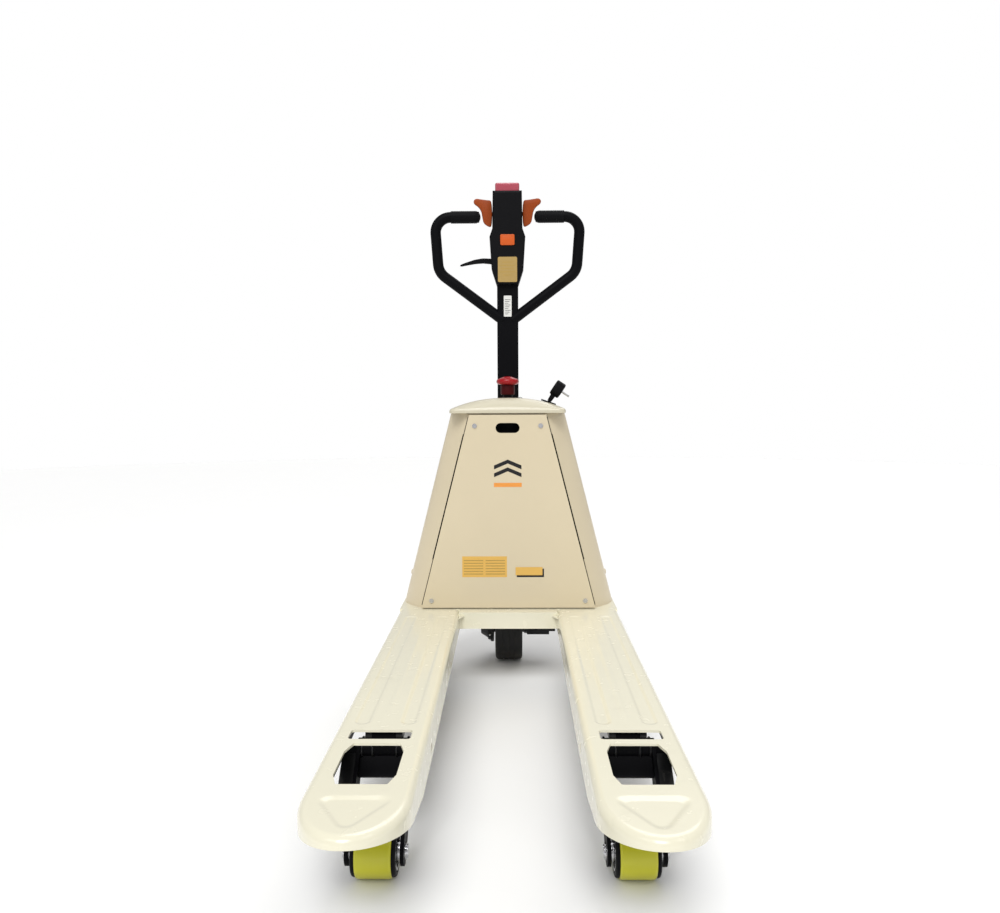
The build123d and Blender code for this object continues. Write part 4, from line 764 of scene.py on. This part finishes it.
@dataclass
class WheelSides:
    """The dark moulding that carries a load wheel's tread and shows at both its sides."""

    side: Side
    radius: float = 37.5 * MM
    half: float = 35 * MM
    bore: float = 17 * MM
    dish: float = 3 * MM
    edge: float = 4 * MM
    steps: tuple = (31 * MM, 28 * MM, 21 * MM, 19 * MM)

    def build(self) -> bpy.types.Object:
        """Turn the moulding: a hub with rounded shoulders and a dished face at each side.

        Returns:
            The moulding's piece.
        """
        node = "roller_tyre_" + self.side.word
        low, high = (np.array(corner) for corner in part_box(node))
        angle = np.linspace(0, np.pi / 2, 8)
        across = self.half - self.edge + self.edge * np.sin(angle)
        out = self.radius - self.edge + self.edge * np.cos(angle)
        shoulder = np.column_stack([across, out])
        depths = (self.half, self.half - self.dish, self.half - self.dish, self.half, self.half)
        face = np.column_stack([depths, (*self.steps, self.bore)])
        right = np.concatenate([shoulder, face])
        profile = np.concatenate([right[::-1] * [-1, 1], right])
        profile = np.concatenate([profile, profile[:1]])
        centre = tuple((low + high) / 2)
        piece = lathe("roller_side_" + self.side.word, profile, centre, "X", "black_plastic", 96)
        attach(piece, "wheel_" + self.side.word)
        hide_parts(node)
        return piece


@dataclass
class LoadArm:
    """The cast flares and collars of a load arm, either side of its hub."""

    side: Side
    flare: tuple = ((43, 4), (70, 4), (71.5, 30), (71.5, 118), (62, 142), (46, 150), (43, 150))
    stub: tuple = ((43, 4), (70, 4), (71, 34), (58, 66), (48, 96), (43, 96))
    thick: float = 6 * MM
    collar: tuple = ((-2, 15), (-2, 17), (-1, 18.5), (1, 18.5), (2, 17), (2, 15), (-2, 15))
    reaches: tuple = (20 * MM, 38 * MM)

    def build(self) -> list[bpy.types.Object]:
        """Make two flares and four collars.

        A flare is drawn in the arm's own plane, across and along the arm, and is carried there by
        the matrix of the arm's three directions.

        Returns:
            The pieces.
        """
        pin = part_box("arm_pivot_pins")
        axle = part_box("roller_axle_" + self.side.word)
        centre = (axle[0][0] + axle[1][0]) / 2
        pivot = Vector((centre, (pin[0][1] + pin[1][1]) / 2, (pin[0][2] + pin[1][2]) / 2))
        wheel = Vector((centre, (axle[0][1] + axle[1][1]) / 2, (axle[0][2] + axle[1][2]) / 2))
        down = (wheel - pivot).normalized()
        across = Vector((1, 0, 0))
        place = Matrix((across, down, across.cross(down))).transposed().to_4x4()
        place.translation = pivot
        pieces = []
        for outward in Side:
            shape = self.flare if outward is self.side else self.stub
            outline = softened(np.array(shape, float) * MM, 1) * [outward.value, 1]
            flare = plate(f"arm_flare_{self.side.word}_{outward.word}", outline, "Z",
                          (-self.thick, self.thick), "black_steel", 3 * MM)
            flare.data.transform(place)
            pieces.append(flare)
            for reach in self.reaches:
                ring = np.array(self.collar) * MM
                spot = (centre + outward.value * reach, pivot.y, pivot.z)
                name = f"arm_collar_{self.side.word}_{outward.word}_{round(reach / MM)}"
                pieces.append(lathe(name, ring, spot, "X", "black_steel", 48))
        for piece in pieces:
            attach(piece, "arm_" + self.side.word)
        return pieces


# ---- handle --------------------------------------------------------------------------------------
@dataclass
class HandleLoop:
    """The bent bars and the rubber grips at their ends."""

    corners: tuple = ((196 * MM, 1100 * MM), (207 * MM, 1254 * MM))
    start: tuple[float, float] = (12 * MM, 963 * MM)
    end: float = 80 * MM
    bends: tuple[float, float] = (50 * MM, 42 * MM)
    bar: float = 15 * MM
    grip: float = 17.3 * MM
    grip_length: float = 84 * MM
    rib_pitch: float = 6 * MM
    rib_depth: float = 0.15 * MM
    cap: tuple[float, float] = (15 * MM, 16 * MM)
    mouth: float = 4.5 * MM

    def build(self) -> list[bpy.types.Object]:
        """Make both bars and both grips.

        Returns:
            The four pieces.
        """
        low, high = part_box("handle_tube")
        middle = (low[1] + high[1]) / 2
        pieces = []
        for side in Side:
            route = [self.start, *self.corners, (self.end, self.corners[1][1])]
            points = np.array([(side.value * x, middle, z) for x, z in route])
            path = resample(rounded_path(points, list(self.bends)), 5 * MM)
            bar = swept_tube("loop_bar_" + side.word, path, np.full(len(path), self.bar), "black_paint")
            pieces += [bar, self._grip(side, middle)]
        nodes, surfaces = ("handle_loop", "grip_sleeves") * 2, ("black_paint", "black_rubber") * 2
        for piece, node, surface in zip(pieces, nodes, surfaces):
            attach(piece, "handle")
            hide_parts(node)
        return pieces

    def _grip(self, side: Side, middle: float) -> bpy.types.Object:
        """A grip: a turned sleeve with shallow ribs and a domed end."""
        length, tall = self.cap
        along = np.linspace(length, self.grip_length, 90)
        ribs = self.rib_depth * np.cos(2 * np.pi * along / self.rib_pitch)
        body = np.column_stack([along, self.grip - self.rib_depth + ribs])
        dome = np.linspace(0, np.pi / 2, 8)
        cap = np.column_stack([length * (1 - np.sin(dome)), (self.grip - tall) + tall * np.cos(dome)])[::-1]
        nose = np.array([[0.0, 0.0]])
        bore = self.bar + 0.1 * MM
        mouth = np.array([[self.grip_length, bore], [self.mouth, bore], [self.mouth, 0.0]])
        profile = np.concatenate([nose, cap, body, mouth])
        start = side.value * (self.end - 4 * MM)
        spot = (start, middle, self.corners[1][1])
        return lathe("grip_" + side.word, profile * [side.value, 1], spot, "X", "black_rubber", 48)


@dataclass
class TillerHead:
    """What shows on the tiller head: wings, lever, the button's inset and labels."""

    wing: tuple = ((43, 1224), (56, 1228), (68, 1237), (71, 1254), (74, 1271), (83, 1283), (94, 1290),
                   (96, 1299), (89, 1306), (72, 1303), (56, 1301), (43, 1300))
    lever: tuple = ((-34, 1128), (-48, 1130), (-70, 1131.5), (-92, 1129), (-115, 1123.5), (-135, 1118))
    lever_half: tuple = (8.6, 8.0, 7.4, 6.4, 4.6, 3.2)
    lever_thick: float = 3.8 * MM
    wing_thick: float = 4.5 * MM
    wing_edge: float = 3.2 * MM
    shaft: tuple[float, float, float] = (43 * MM, 6 * MM, 1262 * MM)
    film: float = 0.25 * MM
    head_lines: tuple = (30, 40, 34, 42, 26)
    tube_lines: int = 9

    def build(self) -> list[bpy.types.Object]:
        """Make the head's own pieces.

        Returns:
            The pieces.
        """
        return [*self._wings(), self._finger_lever(), *self._face_details()]

    def _wings(self) -> list[bpy.types.Object]:
        """Two rounded wings on a shaft through the head."""
        low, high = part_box("butterfly")
        middle = (low[1] + high[1]) / 2
        pieces = []
        for side in Side:
            outline = softened(np.array(self.wing, float) * MM, 2) * [side.value, 1]
            place = (middle - self.wing_thick, middle + self.wing_thick)
            pieces.append(plate("thumb_wing_" + side.word, outline, "Y", place, "rust_plastic",
                                self.wing_edge))
        reach, radius, height = self.shaft
        shaft = np.array([(-reach, 0.0), (-reach, radius), (reach, radius), (reach, 0.0)])
        pieces.append(lathe("thumb_wing_shaft", shaft, (0.0, middle, height), "X", "black_plastic", 32))
        for piece in pieces:
            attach(piece, "thumb_wings")
            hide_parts("butterfly")
        return pieces

    def _finger_lever(self) -> bpy.types.Object:
        """The lever: a flattened tube along its curve that thins to a round tip."""
        low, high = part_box("finger_lever")
        middle = (low[1] + high[1]) / 2
        stops = np.array(self.lever, float) * MM
        points = np.column_stack([stops[:, 0], np.full(len(stops), middle), stops[:, 1]])
        path = resample(points, 3 * MM)
        radii = np.interp(-path[:, 0], -stops[:, 0], np.array(self.lever_half) * MM)
        radii[-2:] *= (0.8, 0.4)
        piece = swept_tube("lowering_lever", path, radii, "black_plastic", 24, 1.0, (0, 0, 1))
        points = np.empty(3 * len(piece.data.vertices), np.float32)
        piece.data.vertices.foreach_get("co", points)
        points[1::3] = middle + np.clip(points[1::3] - middle, -self.lever_thick, self.lever_thick)
        piece.data.vertices.foreach_set("co", points)
        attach(piece, "lowering_lever")
        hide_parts("finger_lever")
        return piece

    def _face_details(self) -> list[bpy.types.Object]:
        """The label with plain lines, the button's inset and the tube's label."""
        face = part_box("head_shell_front")[0][1]
        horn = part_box("horn_button")
        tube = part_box("handle_tube")[0][1]
        film = self.film
        pieces = []

        def stick(piece: bpy.types.Object, body: str) -> None:
            """Let a piece ride a body and keep it."""
            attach(piece, body)
            pieces.append(piece)

        outline = rounded_rectangle(54 * MM, 70 * MM, 4 * MM, (0.0, 1103 * MM))
        stick(plate("head_label", outline, "Y", (face - film, face + film), "label_tan"), "handle")
        for index, width in enumerate(self.head_lines):
            z = (1122 - 9 * index) * MM
            stick(block(f"head_label_line_{index}", (-width / 2 * MM, face - 1.6 * film, z),
                        (width / 2 * MM, face - film, z + 2.2 * MM), "ink_faint"), "handle")
        near = horn[0][1]
        ring = rounded_rectangle(30 * MM, 21 * MM, 4 * MM, (0.0, 1185 * MM))
        stick(plate("horn_inset", ring, "Y", (near - film, near + film), "orange_plastic", 0.1 * MM),
              "horn")
        outline = rounded_rectangle(22 * MM, 59 * MM, 2 * MM, (0.0, 1002.5 * MM))
        stick(plate("tube_label", outline, "Y", (tube - film, tube + film), "label_white"), "handle")
        for index in range(self.tube_lines):
            z = (980 + 5 * index) * MM
            stick(block(f"tube_label_line_{index}", (-8 * MM, tube - 1.6 * film, z),
                        ((2 + 3 * (index % 3)) * MM, tube - film, z + 1.3 * MM), "ink"), "handle")
        return pieces


@dataclass
class StopKnob:
    """The red mushroom: a crowned disc with a rounded rim over a stem in painted shade, a darker red for
    the shadow under the disc.
    """

    rim: float = 30 * MM
    stem: float = 19 * MM
    disc: float = 22 * MM
    curve: float = 8 * MM
    bore: float = 13.2 * MM
    stem_levels: tuple[float, float, float, float] = (3 * MM, 9 * MM, 25 * MM, 27 * MM)

    def build(self) -> list[bpy.types.Object]:
        """Turn the disc and the stem.

        Returns:
            The two pieces.
        """
        low, high = (np.array(corner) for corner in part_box("stop_knob"))
        top, foot = high[2], high[2] - self.disc
        centre = ((low[0] + high[0]) / 2, (low[1] + high[1]) / 2, 0.0)
        turn = np.linspace(-np.pi / 2, np.pi / 2, 15)
        curve, inner = self.curve, self.rim - self.curve
        rim = np.column_stack([foot + curve + curve * np.sin(turn), inner + curve * np.cos(turn)])
        share = np.linspace(1, 0, 12)[1:]
        crown = np.column_stack([top - (top - foot - 2 * curve) * share ** 2, inner * share])
        disc = np.concatenate([[[foot, 0.0]], rim, crown])
        neck, roof, chamfer, end = (foot - level for level in self.stem_levels)
        head = foot + 0.2 * MM
        stem = np.array([(head, 0.0), (head, self.stem - 1 * MM), (neck, self.stem), (chamfer, self.stem),
                         (end, self.stem - 2 * MM), (end, self.bore), (roof, self.bore), (roof, 0.0)])
        # the stem takes the darker red of painted shade under the disc
        pieces = [lathe("stop_disc", disc, centre, "Z", "red_plastic", 96),
                  lathe("stop_stem", stem, centre, "Z", "painted_shade_red", 64)]
        for piece in pieces:
            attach(piece, "knob")
            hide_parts("stop_knob")
        return pieces


@dataclass
class MastBox:
    """The bent side sheets with rounded bends, near-black painted shade in the panel's seams, side bolts
    and heel welds.
    """

    bend: float = 14 * MM
    seam: float = 2.4 * MM
    panel_foot: float = 224 * MM
    panel_head: float = 98 * MM
    bend_turns: tuple[float, float] = (15, 65)
    seam_runs: tuple = (("", 0.01, 0.99, 1.0), ("_wide", 0.25, 0.9, 1.6))
    bolt: tuple[float, float, float] = (9 * MM, 5 * MM, 4 * MM)
    bolt_place: tuple[float, float, float] = (19 * MM, 120 * MM, 272 * MM)
    bead: tuple[float, float] = (2.6 * MM, 0.5 * MM)
    bead_run: tuple[float, float] = (160 * MM, 197 * MM)

    def build(self) -> list[bpy.types.Object]:
        """Make the box's own pieces.

        Returns:
            The pieces.
        """
        pieces = [self._sheets(), *self._seams(), *self._bolts(), *self._welds()]
        for piece in pieces:
            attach(piece, "fork_frame")
        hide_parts("mast_box")
        return pieces

    def _sheets(self) -> bpy.types.Object:
        """A merged copy of the box, with its long upright bends made round."""
        mesh = frame["nodes"]["mast_box"].data.copy()
        mesh.materials.clear()
        mesh.materials.append(finish("cream_powder"))
        work = bmesh.new()
        work.from_mesh(mesh)
        bmesh.ops.remove_doubles(work, verts=work.verts, dist=1e-5)
        bmesh.ops.dissolve_limit(work, angle_limit=radians(1), verts=work.verts, edges=work.edges)
        bends = [edge for edge in work.edges if self._is_bend(edge)]
        bmesh.ops.bevel(work, geom=bends, offset=self.bend, segments=5, profile=0.5, affect="EDGES")
        work.to_mesh(mesh)
        work.free()
        mesh.shade_smooth()
        mesh.set_sharp_from_angle(angle=radians(30))
        piece = bpy.data.objects.new("mast_sheets", mesh)
        bpy.context.scene.collection.objects.link(piece)
        return piece

    def _is_bend(self, edge: bmesh.types.BMEdge) -> bool:
        """Whether an edge runs up the box between two sheets that meet at an obtuse angle."""
        run = edge.verts[1].co - edge.verts[0].co
        if run.length < 0.4 or abs(run.z) < 0.9 * run.length or len(edge.link_faces) != 2:
            return False
        least, most = self.bend_turns
        return radians(least) < edge.calc_face_angle() < radians(most)

    def _seams(self) -> list[bpy.types.Object]:
        """Near-black strips of painted shade in the gaps beside the panel's slanted edges, and a wider one
        at mid height.
        """
        low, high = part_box("front_panel")
        pieces = []
        for side in Side:
            for name, start, end, scale in self.seam_runs:
                width = scale * self.seam
                share = np.array([start, end])
                z = low[2] + share * (high[2] - low[2])
                x = self.panel_foot + share * (self.panel_head - self.panel_foot)
                outline = np.array([(x[0], z[0]), (x[0] + width, z[0]), (x[1] + width, z[1]), (x[1], z[1])])
                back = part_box("mast_box")[0][1]
                # each strip is painted shade in the gap between the panel and the box
                pieces.append(plate(f"panel_seam_{side.word}{name}", outline * [side.value, 1], "Y",
                                    (back - 0.4 * MM, back + 0.4 * MM), "painted_shade_black"))
        return pieces

    def _bolts(self) -> list[bpy.types.Object]:
        """Domed bolt heads low on the box's sides."""
        half = (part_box("mast_box")[1][0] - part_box("mast_box")[0][0]) / 2
        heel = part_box("front_panel")[0][1]
        radius, rise, sunk = self.bolt
        inset, behind, height = self.bolt_place
        dome = np.linspace(0, np.pi / 2, 8)
        pieces = []
        for side in Side:
            profile = np.column_stack([rise * np.sin(dome), radius * np.cos(dome)])
            profile = np.concatenate([[[-sunk, 0.0], [-sunk, radius]], profile]) * [side.value, 1]
            spot = (side.value * (half - inset), heel + behind, height)
            pieces.append(lathe("side_bolt_" + side.word, profile, spot, "X", "cream_powder", 40))
        return pieces

    def _welds(self) -> list[bpy.types.Object]:
        """Rippled weld beads where the forks meet the cross member, and a gusset over each."""
        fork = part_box("fork_right")[0][0]
        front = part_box("heel_crossmember")[0][1]
        thick, ripple = self.bead
        pieces = []
        for side in Side:
            inner = side.value * fork
            z = np.linspace(*self.bead_run, 60)
            x = np.full(60, inner - side.value * ripple)
            path = np.column_stack([x, np.full(60, front - ripple), z])
            radii = thick + ripple * np.abs(np.sin(z / thick * np.pi / 2))
            pieces.append(swept_tube("heel_weld_" + side.word, path, radii, "ivory_enamel", 12))
            corner = np.array([(0, 0), (-14, 0), (0, -26)]) * MM * [side.value, 1]
            outline = corner + np.array([inner, front])
            place = (188 * MM, 192 * MM)
            pieces.append(plate("heel_gusset_" + side.word, outline, "Z", place, "ivory_enamel", 0.8 * MM))
        return pieces


# ---- front panel's signs -------------------------------------------------------------------------
@dataclass
class PanelSigns:
    """Films on the front panel, and a near-black cup of painted shade behind its finger hole."""

    film: float = 0.3 * MM
    chevron: tuple = ((-35, 0), (0, 15), (35, 0), (35, 10), (0, 25), (-35, 10))
    chevron_foot: float = 541 * MM
    chevron_pitch: float = 20 * MM
    hole: tuple[float, float, float, float] = (66 * MM, 30 * MM, 15 * MM, 666.5 * MM)
    cup_depths: tuple[float, float, float] = (2.4 * MM, 8 * MM, 26 * MM)
    cup_shrink: float = 0.96
    cup_wall: float = 1.5 * MM
    bar: tuple[float, float, float] = (35.5 * MM, 516 * MM, 526.5 * MM)

    def build(self) -> list[bpy.types.Object]:
        """Make the films and the cup.

        Returns:
            The pieces.
        """
        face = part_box("front_panel")[0][1]
        near, back = face - self.film, face + self.film
        pieces = []
        for index in range(2):
            outline = np.array(self.chevron, float) * MM
            outline[:, 1] += self.chevron_foot + index * self.chevron_pitch
            pieces.append(plate(f"lift_sign_{index}", outline, "Y", (near, back), "ink"))
        half, bottom, top = self.bar
        pieces.append(block("orange_bar", (-half, near, bottom), (half, back, top), "mark_orange"))
        pieces.append(block("warning_film", (-118 * MM, near, 283 * MM), (-3 * MM, back, 337 * MM),
                            "label_yellow"))
        for index in range(6):
            z = (290 + 7 * index) * MM
            for left, right in ((-114, -64), (-58, -8)):
                pieces.append(block(f"warning_line_{index}_{-left}", (left * MM, near - self.film / 2, z),
                                    (right * MM, near, z + 2.4 * MM), "ink_faint"))
        pieces.append(block("plate_shadow", (22 * MM, near, 283 * MM), (92 * MM, back, 305 * MM), "ink"))
        pieces.append(block("plate_film", (19 * MM, near - self.film, 288 * MM), (88 * MM, near, 309 * MM),
                            "label_yellow"))
        for piece in pieces:
            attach(piece, "fork_frame")
        pieces.append(self._cup(face))
        return pieces

    def _cup(self, face: float) -> bpy.types.Object:
        """A near-black cup of painted shade behind the oval hole: the hole's outline carried back and
        closed.
        """
        width, height, radius, level = self.hole
        middle = np.array([0.0, level])
        outline = rounded_rectangle(width, height, radius, (0.0, level), 12)
        count = len(outline)
        rings = zip((outline, outline, middle + (outline - middle) * self.cup_shrink), self.cup_depths)
        verts = np.concatenate([np.column_stack([ring[:, 0], np.full(count, face + depth), ring[:, 1]])
                                for ring, depth in rings])
        faces = grid_faces(3, count, True).tolist() + [list(range(2 * count, 3 * count))]
        # near-black painted shade for the hollow behind the hole
        cup = new_piece("finger_cup", verts, faces, "painted_shade_black")
        tidy_normals(cup)
        thicken(cup, -self.cup_wall)
        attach(cup, "fork_frame")
        return cup


# ---- stage ---------------------------------------------------------------------------------------
@dataclass
class Studio:
    """A pale floor, soft lights and the camera."""

    spot: tuple[float, float, float] = (14.47 * MM, -2167.75 * MM, 744.0 * MM)
    yaw: float = -0.0157
    pitch: float = 0.0691
    roll: float = -0.0049
    focal: float = 30.7246
    sensor: float = 36.0
    floor: tuple[float, float, float] = (0.01, 9.0, 0.0005)
    ambient: float = 0.48

    def build(self, heel: float) -> None:
        """Make the floor, the world, the lights and the camera."""
        self._floor()
        self._world()
        self._sun("key", (-0.12, -0.9, 0.95), 1.75, 30)
        self._sun("back", (0.25, 0.8, 1.0), 0.8, 40)
        self._light("left", (-1.8, -2.0, 2.2), 0.9, 5)
        self._light("right", (2.2, -1.6, 2.4), 0.9, 5)
        self._light("top", (0.0, 0.6, 3.0), 1.2, 6)
        self._camera(heel)

    def _floor(self) -> None:
        """A round floor."""
        thick, radius, drop = self.floor
        profile = np.array([(-thick, 0.0), (-thick, radius), (0.0, radius), (0.0, 0.0)])
        floor = lathe("floor", profile, (0.0, 0.0, -drop), "Z", "floor_pale", 96)

    def _world(self) -> None:
        """An even pale surround."""
        world = bpy.data.worlds.new("surround")
        world.use_nodes = True
        background = world.node_tree.nodes["Background"]
        tree = world.node_tree
        path = tree.nodes.new("ShaderNodeLightPath")
        level = tree.nodes.new("ShaderNodeMapRange")
        level.inputs["To Min"].default_value = self.ambient
        level.inputs["To Max"].default_value = 1.0
        tree.links.new(path.outputs["Is Camera Ray"], level.inputs["Value"])
        tree.links.new(level.outputs[0], background.inputs[1])
        background.inputs[0].default_value = (1.0, 1.0, 1.0, 1.0)
        bpy.context.scene.world = world
        bpy.context.scene.view_settings.view_transform = "Standard"

    def _light(self, name: str, place: tuple, size: float, power: float) -> None:
        """A square soft light that looks at the truck's middle."""
        data = bpy.data.lights.new(name, "AREA")
        data.energy = power
        data.size = size
        lamp = bpy.data.objects.new(name, data)
        lamp.location = place
        lamp.rotation_euler = (Vector((0, 0, 0.5)) - Vector(place)).to_track_quat("-Z", "Y").to_euler()
        bpy.context.scene.collection.objects.link(lamp)

    def _sun(self, name: str, way: tuple, power: float, spread: float) -> None:
        """A soft distant light that comes from a direction."""
        data = bpy.data.lights.new(name, "SUN")
        data.energy = power
        data.angle = radians(spread)
        lamp = bpy.data.objects.new(name, data)
        lamp.rotation_euler = Vector(way).to_track_quat("Z", "Y").to_euler()
        bpy.context.scene.collection.objects.link(lamp)

    def _camera(self, heel: float) -> None:
        """The camera at its place, turned by yaw, pitch and roll."""
        level = cos(self.pitch)
        forward = Vector((sin(self.yaw) * level, cos(self.yaw) * level, -sin(self.pitch)))
        right = Vector((cos(self.yaw), -sin(self.yaw), 0.0))
        up = right.cross(forward)
        turned_right = right * cos(self.roll) + up * sin(self.roll)
        turned_up = up * cos(self.roll) - right * sin(self.roll)
        data = bpy.data.cameras.new("camera")
        data.lens = self.focal
        data.sensor_width = self.sensor
        camera = bpy.data.objects.new("camera", data)
        turn = Matrix((turned_right, turned_up, -forward)).transposed().to_4x4()
        camera.matrix_world = Matrix.Translation(Vector(self.spot) + Vector((0, heel, 0))) @ turn
        bpy.context.scene.collection.objects.link(camera)
        bpy.context.scene.camera = camera


def dress_nodes() -> None:
    """Give every CAD node the finish of its material slot."""
    slots = {row["node"]: row["material_slot"] for row in frame["record"]["subparts"]}
    for name, node in frame["nodes"].items():
        surface = slots[name]
        if not node.material_slots:
            node.data.materials.append(finish(surface))
        for holder in node.material_slots:
            holder.material = finish(surface)


def main() -> None:
    """Build every class in order and report each piece."""
    logging.basicConfig(level=logging.INFO, format="%(message)s")
    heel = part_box("front_panel")[0][1]
    Studio().build(heel)
    dress_nodes()
    for side in Side:
        LOG.info("made %s", Fork(side).build(heel).name)
        wheel = Wheel("roller_tyre_" + side.word, "wheel_" + side.word, "yellow_tread", 33 * MM, 5 * MM,
                      inset=6 * MM)
        LOG.info("made %s", wheel.build().name)
        LOG.info("made %s", WheelSides(side).build().name)
    drive = Wheel("drive_tyre", "drive_wheel", "black_tread", 80 * MM, 9 * MM, 1.2 * MM)
    LOG.info("made %s", drive.build().name)
    LOG.info("made %s", TopCover().build().name)
    makers = (LoadArm(Side.LEFT), LoadArm(Side.RIGHT), HandleLoop(), TillerHead(), StopKnob(), MastBox(),
              PanelSigns())
    for maker in makers:
        for piece in maker.build():
            LOG.info("made %s", piece.name)


if __name__ == "__main__":
    main()
